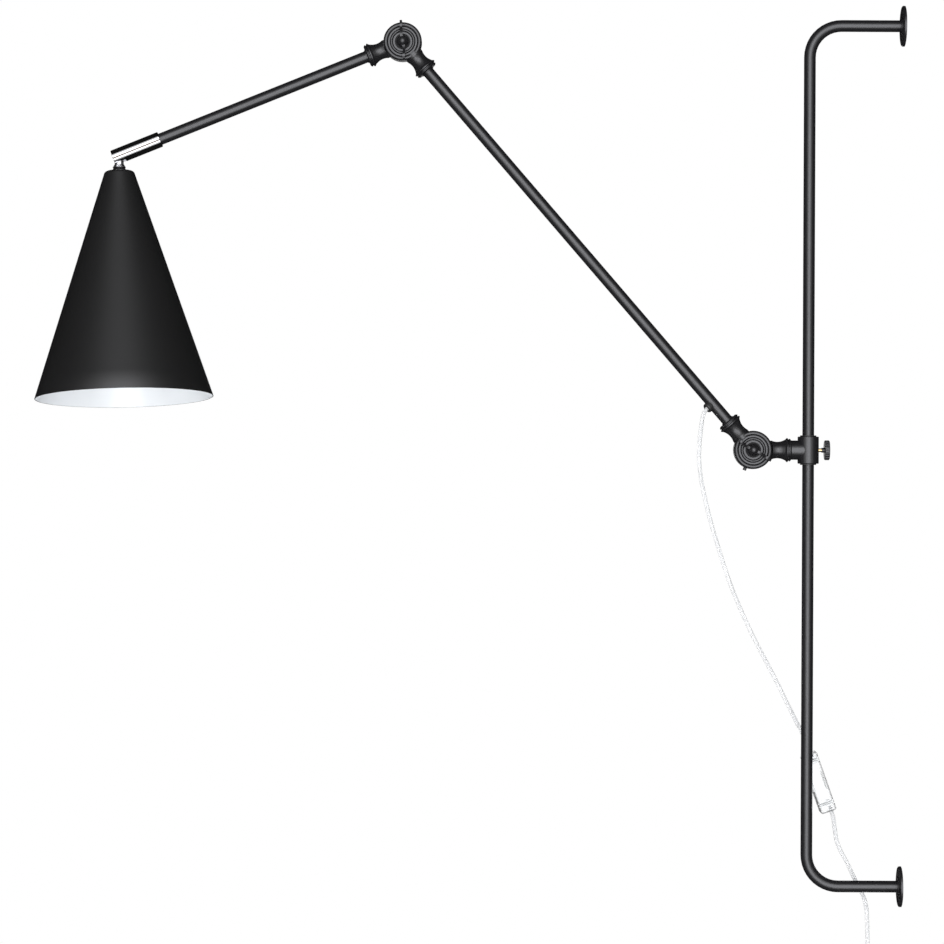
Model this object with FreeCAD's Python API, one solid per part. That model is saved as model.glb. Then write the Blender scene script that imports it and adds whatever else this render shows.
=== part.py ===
import FreeCAD, Part

import math
import os

# A jointed wall lamp on a bar. Millimetres. The wall is the plane X = 0 and the lamp stands out to -X.
# +Z is up and the lamp is seen from -Y. The origin is the middle of the lower wall flange's back.

# Fits
running = 0.05         # radial, a shaft in the hole it turns or slides in
face_gap = 0.05        # between two faces that turn on each other
seat_gap = 0.02        # radial, a piece that is screwed, brazed or pressed in
swing_gap = 0.6        # a neck's clearance round the other half of its knuckle

# Tube of the bar and of both arms
tube_r = 6.5
tube_wall = 1.5

# Wall bar
bar_height = 955.0     # between the axes of its two horizontal legs
bar_reach = 105.0      # wall to the bar's axis
bar_bend_r = 35.0
flange_r = 22.5
flange_t = 3.0
flange_edge = 0.8
flange_collar_wall = 1.8
flange_collar_h = 1.4
flange_holes = 3
flange_hole_r = 2.25
flange_hole_circle_r = 14.8
flange_sink_r = 4.2
flange_sink_depth = 1.8

# Slider
clamp_height = 484.0   # of the clamp's middle above the lower leg's axis
clamp_r = 11.75
clamp_h = 30.0
clamp_edge = 0.6
bush_wall = 1.75
bush_length = 10.5
bush_lip = 0.7
bush_lip_h = 1.3
socket_r = 10.7
nipple_r = 5.0
nipple_bore_r = 3.8
nipple_length = 27.0

# Thumb screw
screw_r = 2.0
screw_shown = 3.0      # bare shank between clamp and collar
screw_collar_r = 2.7
screw_collar_h = 3.2
knob_r = 11.0
knob_h = 5.5
knob_flutes = 24
knob_flute_r = 0.9
knob_edge = 0.7

# Knuckle halves, measured from the pivot and from the plane between the halves
knuckle_r = 21.25
washer_half = 0.5
knuckle_wall_top = 7.6
recess_r = 10.6
recess_floor = 7.6
ring_inner_r = 11.0
ring_outer_r = 13.8
ring_side = 8.9
ring_top = 9.9
groove_inner_r = 14.3
groove_outer_r = 15.9
groove_floor = 7.9
rim_inner_r = 16.5
rim_outer_r = 20.6
cavity_r = 15.5
cavity_depth = 5.5
boss_r = 5.5
neck_start = 15.9
neck_root_r = 10.4
neck_root = 21.0
neck_waist_r = 9.15
neck_waist = 27.7
neck_flare_r = 10.8
neck_flare = 34.3
neck_lip_r = 13.35
neck_lip = 37.5
neck_lip_h = 0.9
neck_end = 39.0
neck_end_r = 12.7
channel_r = 3.0
channel_offset = 2.8
channel_end = 25.0
wire_bore_r = 5.0
wire_bore_start = 23.5
tube_stop = 31.0       # from the pivot to the end of the tube
ferrule_end = 42.5
ferrule_bead_r = 12.3
ferrule_groove_r = 11.8
ferrule_end_r = 10.9
ferrule_tip = 43.7
ferrule_tip_wall = 0.9

# Knuckle bolt, washers, wing nut and stop pin
bolt_r = 3.0
bolt_head_r = 6.6
bolt_head_h = 3.8
bolt_tip = 16.5        # in front of the plane between the halves
flat_washer_r = 8.6
flat_washer_t = 1.0
friction_washer_inner_r = 15.9
friction_washer_outer_r = 20.9
wing_base_r = 6.6
wing_neck_r = 5.3
wing_top = 20.0
wing_reach = 22.2
wing_half_t = 1.3
wing_root_half_t = 1.7
stop_pin_r = 2.0
stop_pin_depth = 4.0
stop_pin_shown = 3.0
stop_pin_offset = 4.8
stop_pin_angle = 248.4

# Arms, at the photographed pose
base_pivot_reach = 61.6        # bar axis to base pivot
lower_arm_length = 596.3       # pivot to pivot
lower_arm_angle = 130.9        # from +X, upwards
upper_arm_length = 339.2       # elbow pivot to the middle of the shade's ball
upper_arm_angle = 202.07
sleeve_roll = 5.26
shade_tilt = 70.0              # between the sleeve's axis and the stem
base_wing_angle = -29.5
elbow_wing_angle = 97.8

# Cord bushing on the lower arm
bushing_place = 68.0           # from the base pivot
bushing_turn = 25.0            # towards -Y from the arm's underside
bushing_r = 5.6
bushing_tip_r = 4.6
bushing_height = 3.6           # above the tube
bushing_inside = 1.2

# Polished sleeve, measured from the ball's middle outwards along the arm
sleeve_r = 8.75
sleeve_end = 6.8
sleeve_rear = -49.2
sleeve_step = -27.0
sleeve_seat = -12.4
sleeve_wide_r = 7.2
sleeve_edge = 0.4
slot_end = -7.5
end_nut_h = 6.0
end_nut_gap = 0.2
ball_r = 5.9
seat_bore_r = 2.6
seat_front = -3.4

# Stem and shade, measured from the ball's middle down the stem
stem_r = 5.0
stem_bore_r = 2.5
stem_length = 32.0
slot_clearance = 0.15
collar_top = 10.2
collar_top_r = 5.6
collar_r = 7.3
neck_ring_top = 13.3
neck_ring_top_r = 6.6
neck_ring_r = 8.4
shade_top = 16.9
shade_wall = 0.9
shade_crown_r = 13.2
shade_crown_drop = 0.5
shade_shoulder = 20.9
shade_apex = 31.9              # from the cone's apex to the ball's middle
shade_length = 270.3           # from the ball's middle to the mouth
shade_mouth_r = 98.4
lock_washer_r = 8.3
lock_washer_t = 1.0
lock_nut_flats = 14.0
lock_nut_h = 3.5

# Lampholder, measured down the stem
holder_top = 24.0
holder_top_r = 9.0
holder_cap_r = 20.2
holder_cap_shoulder = 37.0
holder_cap_end = 50.0
holder_cap_wall = 1.8
holder_body_start = 42.0
holder_body_r = 19.4
holder_body_end = 84.0
holder_bore_r = 14.6
insulator_start = 44.0
insulator_end = 56.0
shell_r = 13.3                 # inside, for an E27 cap
shell_wall = 0.4
shell_end = 82.0
contact_r = 3.4
contact_stem_r = 1.6
contact_h = 4.0
contact_recess_r = 7.0
contact_recess = 4.6           # sunk in the insulator, so that the contact stays below the shell
terminal_r = 2.2
terminal_h = 2.6
terminal_place = 9.0

# Cord
cord_r = 2.3
inner_cord_r = 2.0

# Inline switch, measured down its own axis from its top
switch_top = (-101.6, 22.0, 146.1)
switch_lean = 19.6
switch_length = 68.7
switch_width = 18.0
switch_depth = 26.0
switch_wall = 1.6
switch_corner = 2.6
switch_cord_offset = 3.5
switch_cord_depth = 6.0
switch_hole_gap = 0.1
rocker_length = 15.0
rocker_width = 10.0
rocker_height = 2.2
rocker_inside = 4.0
rocker_gap = 0.6
contact_strip = (1.2, 5.0, 20.0)
contact_strip_place = 5.5
switch_screw_r = 1.5
switch_screw_head_r = 2.6
switch_screw_head_h = 1.4
switch_screw_places = (9.0, 59.0)
switch_screw_side = 7.5

# Put-away coil below the switch
coil_mean_r = 23.5
coil_pitch = 5.15
coil_layers = 4
coil_turns = 7
coil_entry = 60.0              # clock position, degrees from +X
coil_exit = -50.0
coil_end_run = 5.0
tie_place = 20.0
tie_width = 8.0
tie_wall = 1.1
tie_gap = 0.3

# Plug
plug_lead_run = 12.5           # each straight run of the short tail above the plug
plug_length = 36.0
plug_width = 35.0
plug_depth = 13.7
plug_top_width = 15.0
plug_top_depth = 10.0
plug_relief_length = 20.0
plug_relief_r = 4.2
plug_pin_r = 2.0
plug_pin_length = 19.0
plug_pin_spacing = 18.6

vector = FreeCAD.Vector
origin = vector(0, 0, 0)
up = vector(0, 0, 1)
out = vector(0, -1, 0)         # towards the viewer


def in_picture(angle):
    """A direction in the XZ plane, its angle measured from +X upwards."""
    return vector(math.cos(math.radians(angle)), 0, math.sin(math.radians(angle)))


def frame(place, z_axis, x_axis):
    """The placement that puts local Z and X along these two directions."""
    z = vector(z_axis).normalize()
    x = vector(x_axis)
    x = (x - z * x.dot(z)).normalize()
    y = z.cross(x)
    return FreeCAD.Placement(FreeCAD.Matrix(
        x.x, y.x, z.x, place.x,
        x.y, y.y, z.y, place.y,
        x.z, y.z, z.z, place.z,
        0, 0, 0, 1))


def placed(shape, placement):
    moved = shape.copy()
    moved.Placement = placement.multiply(moved.Placement)
    return moved


def outline_face(points, flat=lambda a, b: vector(a, 0, b)):
    """A closed outline. A pair is a straight side's end, and four numbers an arc's middle and end."""
    edges = []
    last = flat(*points[0])
    for point in list(points[1:]) + [points[0][-2:]]:
        end = flat(*point[-2:])
        if last.distanceToPoint(end) < 1e-6:
            continue
        if len(point) == 4:
            edges.append(Part.Arc(last, flat(*point[:2]), end).toShape())
        else:
            edges.append(Part.LineSegment(last, end).toShape())
        last = end
    return Part.Face(Part.Wire(edges))


def turned(points):
    """A solid turned about Z from an outline of (radius, height) points."""
    return outline_face(points).revolve(origin, up, 360)


def dome(radius, low, top):
    """The arc from (radius, low) up to the axis, square to it there."""
    rise = top - low
    ball = (radius ** 2 + rise ** 2) / (2 * rise)
    half = math.atan2(radius, ball - rise) / 2
    return ball * math.sin(half), top - ball + ball * math.cos(half), 0, top


def rod(radius, low, high, x=0.0, y=0.0):
    return Part.makeCylinder(radius, high - low, vector(x, y, low))


def ring(outer, inner, low, high):
    return rod(outer, low, high).cut(rod(inner, low - 1, high + 1))


def along_x(shape):
    """Turns a shape made about Z so that it lies about X, its local X upwards."""
    return placed(shape, frame(origin, vector(1, 0, 0), up))


def route_edges(points, radii=None):
    """Straight runs through the points, joined by tangent arcs as large as the runs allow."""
    edges = []
    last = points[0]
    found = []
    for before, corner, after in zip(points, points[1:], points[2:]):
        a = corner - before
        b = after - corner
        run = min(a.Length, b.Length)
        half_turn = a.getAngle(b) / 2
        cut_back = 0.45 * run
        found.append(cut_back / math.tan(half_turn))
        a.normalize()
        b.normalize()
        start = corner - a * cut_back
        end = corner + b * cut_back
        middle_way = (b - a).normalize()
        middle = corner + middle_way * (found[-1] / math.cos(half_turn) - found[-1])
        edges.append(Part.LineSegment(last, start).toShape())
        edges.append(Part.Arc(start, middle, end).toShape())
        last = end
    edges.append(Part.LineSegment(last, points[-1]).toShape())
    if radii is not None:
        radii.extend(found)
    return edges


def swept(edges, radius):
    wire = Part.Wire(edges)
    first = edges[0]
    start = first.valueAt(first.FirstParameter)
    heading = first.tangentAt(first.FirstParameter)
    circle = Part.Wire([Part.Circle(start, heading, radius).toShape()])
    return wire.makePipeShell([circle], True, False)


def report_tube(name, solid, edges, radius, radii):
    length = sum(edge.Length for edge in edges)
    share = solid.Volume / (math.pi * radius ** 2 * length)
    text = ", ".join("%.0f" % value for value in radii)
    print("%s: %.1f mm long, volume %.4f of section times length, radii %s" % (name, length, share, text))


def save(name, shape):
    solids = shape.Solids
    shape = solids[0] if len(solids) == 1 else Part.makeCompound(solids)
    if not shape.isValid():
        print("not valid:", name)
    shape.exportStep("parts/%s.step" % name)


# Places that follow from the sizes
bar_axis = vector(-bar_reach, 0, 0)
clamp_middle = bar_axis + up * clamp_height
base_pivot = clamp_middle - vector(base_pivot_reach, 0, 0)
lower_way = in_picture(lower_arm_angle)
elbow_pivot = base_pivot + lower_way * lower_arm_length
upper_way = in_picture(upper_arm_angle)
ball_middle = elbow_pivot + upper_way * upper_arm_length
under_sleeve = in_picture(upper_arm_angle + 90)
roll = math.radians(sleeve_roll)
slot_way = under_sleeve * math.cos(roll) + out * math.sin(roll)
tilt = math.radians(shade_tilt)
stem_way = upper_way * math.cos(tilt) + slot_way * math.sin(tilt)

bar_frame = frame(clamp_middle, up, vector(1, 0, 0))
base_front = frame(base_pivot, out, lower_way)
base_rear = frame(base_pivot, out * -1, vector(1, 0, 0))
base_bolt_frame = frame(base_pivot, out, vector(1, 0, 0))
elbow_front = frame(elbow_pivot, out, lower_way * -1)
elbow_rear = frame(elbow_pivot, out * -1, upper_way)
elbow_bolt_frame = frame(elbow_pivot, out, vector(1, 0, 0))
sleeve_frame = frame(ball_middle, upper_way, slot_way)
shade_frame = frame(ball_middle, stem_way, slot_way)


def wall_bar():
    top = vector(-flange_t, 0, bar_height)
    low = vector(-flange_t, 0, 0)
    bend = bar_bend_r
    slant = bend * math.sin(math.pi / 4)
    high_middle = vector(-bar_reach + bend - slant, 0, bar_height - bend + slant)
    low_middle = vector(-bar_reach + bend - slant, 0, bend - slant)
    high_start = vector(-bar_reach + bend, 0, bar_height)
    high_end = vector(-bar_reach, 0, bar_height - bend)
    low_start = vector(-bar_reach, 0, bend)
    low_end = vector(-bar_reach + bend, 0, 0)
    edges = [
        Part.LineSegment(top, high_start).toShape(),
        Part.Arc(high_start, high_middle, high_end).toShape(),
        Part.LineSegment(high_end, low_start).toShape(),
        Part.Arc(low_start, low_middle, low_end).toShape(),
        Part.LineSegment(low_end, low).toShape(),
    ]
    save("wall_bar_tube", swept(edges, tube_r).cut(swept(edges, tube_r - tube_wall)))


def wall_flange(name, height, first_hole):
    collar_r = tube_r + flange_collar_wall
    plate = turned([
        (0, 0), (flange_r, 0), (flange_r, flange_t - flange_edge), (flange_r - flange_edge, flange_t),
        (collar_r + flange_collar_h / 2, flange_t), (collar_r, flange_t + flange_collar_h),
        (tube_r + seat_gap, flange_t + flange_collar_h), (tube_r + seat_gap, flange_t), (0, flange_t),
    ])
    for number in range(flange_holes):
        angle = math.radians(first_hole + 360.0 * number / flange_holes)
        x = flange_hole_circle_r * math.cos(angle)
        y = flange_hole_circle_r * math.sin(angle)
        hole = rod(flange_hole_r, -1, flange_t + 1, x, y)
        sink = Part.makeCone(flange_hole_r, flange_sink_r, flange_sink_depth,
                             vector(x, y, flange_t - flange_sink_depth))
        plate = plate.cut(hole).cut(sink)
    save(name, placed(plate, frame(vector(0, 0, height), vector(-1, 0, 0), up)))


def slider():
    bush_r = tube_r + running + bush_wall
    half = clamp_h / 2 + face_gap
    bush = turned([
        (tube_r + running, half - bush_length), (bush_r, half - bush_length), (bush_r, half),
        (bush_r + bush_lip, half), (bush_r + bush_lip, half + bush_lip_h),
        (tube_r + running, half + bush_lip_h),
    ])
    save("slider_bush_upper", placed(bush, bar_frame))
    save("slider_bush_lower", placed(bush, frame(clamp_middle, up * -1, vector(1, 0, 0))))

    barrel = turned([
        (0, -clamp_h / 2), (clamp_r - clamp_edge, -clamp_h / 2), (clamp_r, clamp_edge - clamp_h / 2),
        (clamp_r, clamp_h / 2 - clamp_edge), (clamp_r - clamp_edge, clamp_h / 2), (0, clamp_h / 2),
    ])
    reach = base_pivot_reach - ferrule_end
    socket = along_x(rod(socket_r, -reach, 0))
    bore = rod(bush_r + running, -clamp_h, clamp_h)
    nipple_hole = along_x(rod(nipple_r + seat_gap, -reach - 1, 0))
    screw_hole = along_x(rod(screw_r + running, 0, clamp_r + 5))
    body = barrel.fuse(socket).removeSplitter().cut(bore).cut(nipple_hole).cut(screw_hole)
    save("clamp_body", placed(body, bar_frame))

    start = -base_pivot_reach + wire_bore_start + 1
    nipple = ring(nipple_r, nipple_bore_r, start, start + nipple_length)
    save("clamp_nipple", placed(along_x(nipple), bar_frame))
    ring_shape = turned(ferrule_outline(nipple_r + seat_gap) + [
        (ferrule_end_r, ferrule_end), (nipple_r + seat_gap, ferrule_end)])
    save("clamp_lock_ring", placed(ring_shape, frame(base_pivot, vector(1, 0, 0), up)))


def thumb_screw():
    tip = tube_r + 2 * running
    shank_end = clamp_r + screw_shown
    knob_start = shank_end + screw_collar_h
    knob_end = knob_start + knob_h
    shank = turned([
        (0, tip), (screw_r - 0.5, tip), (screw_r, tip + 0.5), (screw_r, knob_start + 2), (0, knob_start + 2)])
    knob = turned([
        (screw_r + seat_gap, shank_end), (screw_collar_r, shank_end), (screw_collar_r, knob_start),
        (knob_r - knob_edge, knob_start), (knob_r, knob_start + knob_edge), (knob_r, knob_end - knob_edge),
        (knob_r - knob_edge, knob_end), (0, knob_end), (0, knob_start + 2 + seat_gap),
        (screw_r + seat_gap, knob_start + 2 + seat_gap),
    ])
    flute_ring = knob_r + knob_flute_r / 2
    flutes = []
    for number in range(knob_flutes):
        angle = 2 * math.pi * number / knob_flutes
        flutes.append(rod(knob_flute_r, knob_start - 1, knob_end + 1,
                          flute_ring * math.cos(angle), flute_ring * math.sin(angle)))
    knob = knob.cut(Part.makeCompound(flutes))
    save("thumb_screw_shank", placed(along_x(shank), bar_frame))
    save("thumb_screw_knob", placed(along_x(knob), bar_frame))


def ferrule_outline(bore):
    """The turned rings between a knuckle's lip and what it carries, as far as their last edge."""
    groove = ferrule_groove_r
    bead = ferrule_bead_r
    return [
        (bore, neck_end), (neck_end_r - 0.5, neck_end), (groove, neck_end + 0.3), (groove, neck_end + 0.9),
        (bead, neck_end + 1.2), (bead + 0.25, neck_end + 1.9, bead - 0.2, neck_end + 2.6),
    ]


def knuckle_half():
    """One casting: a disc with turned rings on its outer face, and the neck that leaves it along +X."""
    bolt_hole = bolt_r + running
    disc = turned([
        (bolt_hole, recess_floor), (recess_r, recess_floor), (ring_inner_r, ring_side),
        ((ring_inner_r + ring_outer_r) / 2, ring_top, ring_outer_r, ring_side),
        (groove_inner_r, groove_floor), (groove_outer_r, groove_floor), (rim_inner_r, ring_side),
        ((rim_inner_r + rim_outer_r) / 2, ring_top, rim_outer_r, ring_side),
        (knuckle_r, knuckle_wall_top), (knuckle_r, washer_half), (cavity_r, washer_half),
        (cavity_r, cavity_depth), (boss_r, cavity_depth), (boss_r, face_gap), (bolt_hole, face_gap),
    ])
    neck = along_x(turned([
        (0, neck_start), (neck_root_r, neck_start), (neck_root_r, neck_root),
        (neck_waist_r, neck_waist, neck_flare_r, neck_flare),
        ((neck_flare_r + neck_lip_r) / 2 - 0.3, (neck_flare + neck_lip) / 2 + 0.25, neck_lip_r, neck_lip),
        (neck_lip_r, neck_lip + neck_lip_h), (neck_end_r, neck_end), (0, neck_end),
    ]))
    above = rod(rim_inner_r, groove_floor - 0.01, 30)
    beyond = rod(knuckle_r + swing_gap, -30, washer_half)
    half = disc.fuse(neck.cut(above).cut(beyond).cut(rod(cavity_r, -30, cavity_depth))).removeSplitter()
    channel = placed(along_x(rod(channel_r, cavity_r - 2, channel_end)),
                     FreeCAD.Placement(vector(0, 0, channel_offset), FreeCAD.Rotation()))
    wire_bore = along_x(rod(wire_bore_r, wire_bore_start, neck_end + 1))
    tube_socket = along_x(rod(tube_r + seat_gap, tube_stop, neck_end + 1))
    return half.cut(channel).cut(wire_bore), tube_socket


def knuckles():
    casting, tube_socket = knuckle_half()
    for_tube = casting.cut(tube_socket)
    pin_way = in_picture(stop_pin_angle)
    pin_start = knuckle_r - stop_pin_depth
    pin_middle = base_pivot + vector(0, stop_pin_offset, 0)
    pin = placed(rod(stop_pin_r, pin_start, knuckle_r + stop_pin_shown), frame(pin_middle, pin_way, up))
    pin_hole = placed(rod(stop_pin_r + seat_gap, pin_start, knuckle_r + 5), frame(pin_middle, pin_way, up))
    save("base_stop_pin", pin)
    nipple_bore = along_x(rod(nipple_r + seat_gap, wire_bore_start, neck_end + 1))
    save("base_knuckle_rear", placed(casting.cut(nipple_bore), base_rear).cut(pin_hole))
    save("base_knuckle_front", placed(for_tube, base_front))
    save("elbow_knuckle_front", placed(for_tube, elbow_front))
    save("elbow_knuckle_rear", placed(for_tube, elbow_rear))


def fasteners(name, bolt_frame, wing_angle):
    bolt = turned([
        (0, -recess_floor - bolt_head_h),
        (bolt_head_r * 0.62, -recess_floor - bolt_head_h * 0.78, bolt_head_r, -recess_floor - 0.8),
        (bolt_head_r, -recess_floor), (bolt_r, -recess_floor), (bolt_r, bolt_tip), (0, bolt_tip),
    ])
    save(name + "_bolt", placed(bolt, bolt_frame))
    washer_top = recess_floor + flat_washer_t
    save(name + "_flat_washer",
         placed(ring(flat_washer_r, bolt_r + running, recess_floor, washer_top), bolt_frame))
    friction = ring(friction_washer_outer_r, friction_washer_inner_r, face_gap - washer_half, washer_half)
    save(name + "_friction_washer", placed(friction, bolt_frame))
    seat = washer_top + face_gap
    hole = bolt_r + running
    hub = turned([
        (hole, seat), (wing_base_r, seat), (wing_base_r, seat + 1.0), (wing_neck_r, seat + 4.0),
        (wing_neck_r - 0.3, wing_top - 3.6), dome(wing_neck_r - 0.3, wing_top - 3.6, wing_top),
        (0, bolt_tip + 0.5), (hole, bolt_tip + 0.5),
    ])
    tip = wing_reach
    side = outline_face([
        (hole + 0.3, seat + 0.6), (10.0, seat + 1.6), (17.6, seat + 3.2, tip - 0.9, seat + 7.2),
        (tip, seat + 10.6, tip - 2.8, seat + 13.6), (tip - 6.4, seat + 14.4, 12.4, seat + 11.2),
        (9.0, seat + 8.4, hole + 0.3, seat + 7.4),
    ]).extrude(vector(0, 12, 0))
    side.translate(vector(0, -6, 0))
    half_t = wing_half_t
    root = wing_root_half_t
    plan = outline_face([
        (2.8, -root), (8.0, 0.5 - half_t, 12.5, -half_t), (17.5, -0.9 - half_t, 24.0, -1.0 - half_t),
        (24.0, half_t - 1.2), (17.5, half_t - 0.7, 12.5, half_t), (8.0, half_t + 0.6, 2.8, root),
    ], lambda a, b: vector(a, b, 0)).extrude(vector(0, 0, 60))
    wing = side.common(plan)
    other = wing.copy()
    other.rotate(origin, up, 180)
    nut = hub.fuse([wing, other]).removeSplitter()
    nut.rotate(origin, up, wing_angle)
    save(name + "_wing_nut", placed(nut, bolt_frame))


def arm_tube(name, start, way, low, high, cut=None):
    tube = placed(ring(tube_r, tube_r - tube_wall, low, high), frame(start, way, up))
    if cut is not None:
        tube = tube.cut(cut)
    save(name, tube)


def arm_ferrule(name, pivot, way):
    bore = tube_r + seat_gap
    tip_r = tube_r + ferrule_tip_wall
    shape = turned(ferrule_outline(bore) + [
        (ferrule_end_r, ferrule_end), (tip_r, ferrule_end), (tip_r, ferrule_tip), (bore, ferrule_tip)])
    save(name, placed(shape, frame(pivot, way, up)))


def bushing_frame():
    turn = math.radians(bushing_turn)
    below = in_picture(lower_arm_angle + 90)
    way = below * math.cos(turn) + out * math.sin(turn)
    return frame(base_pivot + lower_way * bushing_place, way, lower_way)


def cord_exit():
    place = bushing_frame()
    return place.multVec(vector(0, 0, tube_r + bushing_height)), place.Rotation.multVec(up)


def arms():
    hole = placed(rod(bushing_tip_r - 0.6 + seat_gap, 0, tube_r + 5), bushing_frame())
    arm_tube("lower_arm_tube", base_pivot, lower_way, tube_stop, lower_arm_length - tube_stop, hole)
    arm_ferrule("lower_arm_base_ferrule", base_pivot, lower_way)
    arm_ferrule("lower_arm_elbow_ferrule", elbow_pivot, lower_way * -1)
    tip = tube_r + bushing_height
    inner = tube_r - tube_wall - bushing_inside
    spigot = bushing_tip_r - 0.6
    bushing = turned([
        (cord_r + running, inner), (spigot, inner), (spigot, tube_r - 2.0), (bushing_r, tube_r - 2.0),
        (bushing_r, tip - 1.6), (bushing_r - 0.4, tip - 0.5, bushing_tip_r, tip),
        (cord_r + running, tip),
    ])
    around = placed(rod(tube_r + seat_gap, 0, lower_arm_length), frame(base_pivot, lower_way, up))
    flared = placed(bushing, bushing_frame())
    plug_part = flared.common(placed(rod(spigot, 0, tube_r + 2), bushing_frame()))
    save("cord_bushing", flared.cut(around).fuse(plug_part).removeSplitter())
    sleeve_inner_end = upper_arm_length + sleeve_step
    arm_tube("upper_arm_tube", elbow_pivot, upper_way, tube_stop, sleeve_inner_end + end_nut_h)
    arm_ferrule("upper_arm_ferrule", elbow_pivot, upper_way)
    nut_start = sleeve_inner_end + face_gap
    nut = ring(sleeve_wide_r - running, tube_r + seat_gap, nut_start, nut_start + end_nut_h - 0.5)
    save("upper_arm_end_nut", placed(nut, frame(elbow_pivot, upper_way, up)))


def sleeve_and_ball():
    bore = ball_r + running
    lip_r = stem_r + running
    lip_start = math.sqrt(bore ** 2 - lip_r ** 2)
    half_angle = math.asin(lip_start / bore) / 2
    rear_bore = tube_r + running
    sleeve = turned([
        (rear_bore, sleeve_rear), (sleeve_r - sleeve_edge, sleeve_rear), (sleeve_r, sleeve_rear + sleeve_edge),
        (sleeve_r, sleeve_end - sleeve_edge), (sleeve_r - sleeve_edge, sleeve_end), (lip_r, sleeve_end),
        (lip_r, lip_start),
        (bore * math.cos(half_angle), bore * math.sin(half_angle), bore, 0),
        (bore, sleeve_seat), (sleeve_wide_r, sleeve_seat), (sleeve_wide_r, sleeve_step),
        (rear_bore, sleeve_step),
    ])
    width = stem_r + slot_clearance
    round_end = slot_end + width
    slot = placed(rod(width, 0, sleeve_r + 2), frame(vector(0, 0, round_end), vector(1, 0, 0), up))
    straight = Part.makeBox(sleeve_r + 2, 2 * width, sleeve_end + 1 - round_end,
                            vector(0, -width, round_end))
    slot_shape = slot.fuse(straight)
    save("end_sleeve", placed(sleeve.cut(slot_shape), sleeve_frame))

    wide = sleeve_wide_r - seat_gap
    narrow = ball_r
    seat = turned([
        (seat_bore_r, sleeve_step + end_nut_h + end_nut_gap), (wide, sleeve_step + end_nut_h + end_nut_gap),
        (wide, sleeve_seat - seat_gap), (narrow, sleeve_seat - seat_gap), (narrow, seat_front),
        (seat_bore_r, seat_front),
    ]).cut(Part.makeSphere(ball_r + running)).cut(slot_shape)
    save("ball_seat", placed(seat, sleeve_frame))

    ball = Part.makeSphere(ball_r).fuse(rod(stem_r, 0, stem_length)).removeSplitter()
    ball = ball.cut(rod(stem_bore_r, 0, stem_length + 1))
    ball = ball.cut(Part.makeSphere(stem_bore_r))
    back = placed(Part.makeCone(stem_bore_r, stem_bore_r + 2.4, ball_r + 1), shade_frame.inverse().multiply(
        frame(ball_middle, upper_way * -1, slot_way)))
    save("ball_stud", placed(ball.cut(back), shade_frame))


def cone_r(place):
    return shade_mouth_r * (place + shade_apex) / (shade_length + shade_apex)


def shade_parts():
    bore = stem_r + seat_gap
    collar = turned([
        (bore, collar_top), (collar_top_r, collar_top), (collar_top_r + 0.2, collar_top + 0.7),
        (collar_r - 0.5, neck_ring_top - 0.9), (collar_r, neck_ring_top - 0.4),
        (collar_r - 0.2, neck_ring_top), (bore, neck_ring_top),
    ])
    save("stem_collar", placed(collar, shade_frame))
    neck_ring = turned([
        (bore, neck_ring_top), (neck_ring_top_r, neck_ring_top),
        (neck_ring_top_r + 0.5, (neck_ring_top + shade_top) / 2, neck_ring_r, shade_top), (bore, shade_top),
    ])
    save("shade_neck_ring", placed(neck_ring, shade_frame))

    wall = shade_wall
    crown_edge = shade_top + shade_crown_drop
    shoulder_r = cone_r(shade_shoulder)
    bend_r = (shade_crown_r + shoulder_r) / 2 + 0.65
    bend = (crown_edge + shade_shoulder) / 2 - 0.65
    shell = turned([
        (bore, shade_top), (neck_ring_r, shade_top), (shade_crown_r, crown_edge),
        (bend_r, bend, shoulder_r, shade_shoulder), (shade_mouth_r, shade_length),
        (shade_mouth_r - wall, shade_length), (shoulder_r - wall, shade_shoulder + wall / 3),
        (bend_r - wall * 0.7, bend + wall * 0.7, shade_crown_r - wall * 0.15, crown_edge + wall),
        (neck_ring_r, shade_top + wall), (bore, shade_top + wall),
    ])
    save("shade", placed(shell, shade_frame))

    inside = shade_top + wall
    nut_start = inside + lock_washer_t
    save("shade_lock_washer", placed(ring(lock_washer_r, bore, inside, nut_start), shade_frame))
    corner = lock_nut_flats / 2 / math.cos(math.radians(30))
    corners = [vector(corner * math.cos(math.radians(60 * n)), corner * math.sin(math.radians(60 * n)), nut_start)
               for n in range(7)]
    hexagon = Part.Face(Part.makePolygon(corners)).extrude(up * lock_nut_h)
    save("shade_lock_nut", placed(hexagon.cut(rod(bore, 0, 60)), shade_frame))


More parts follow.
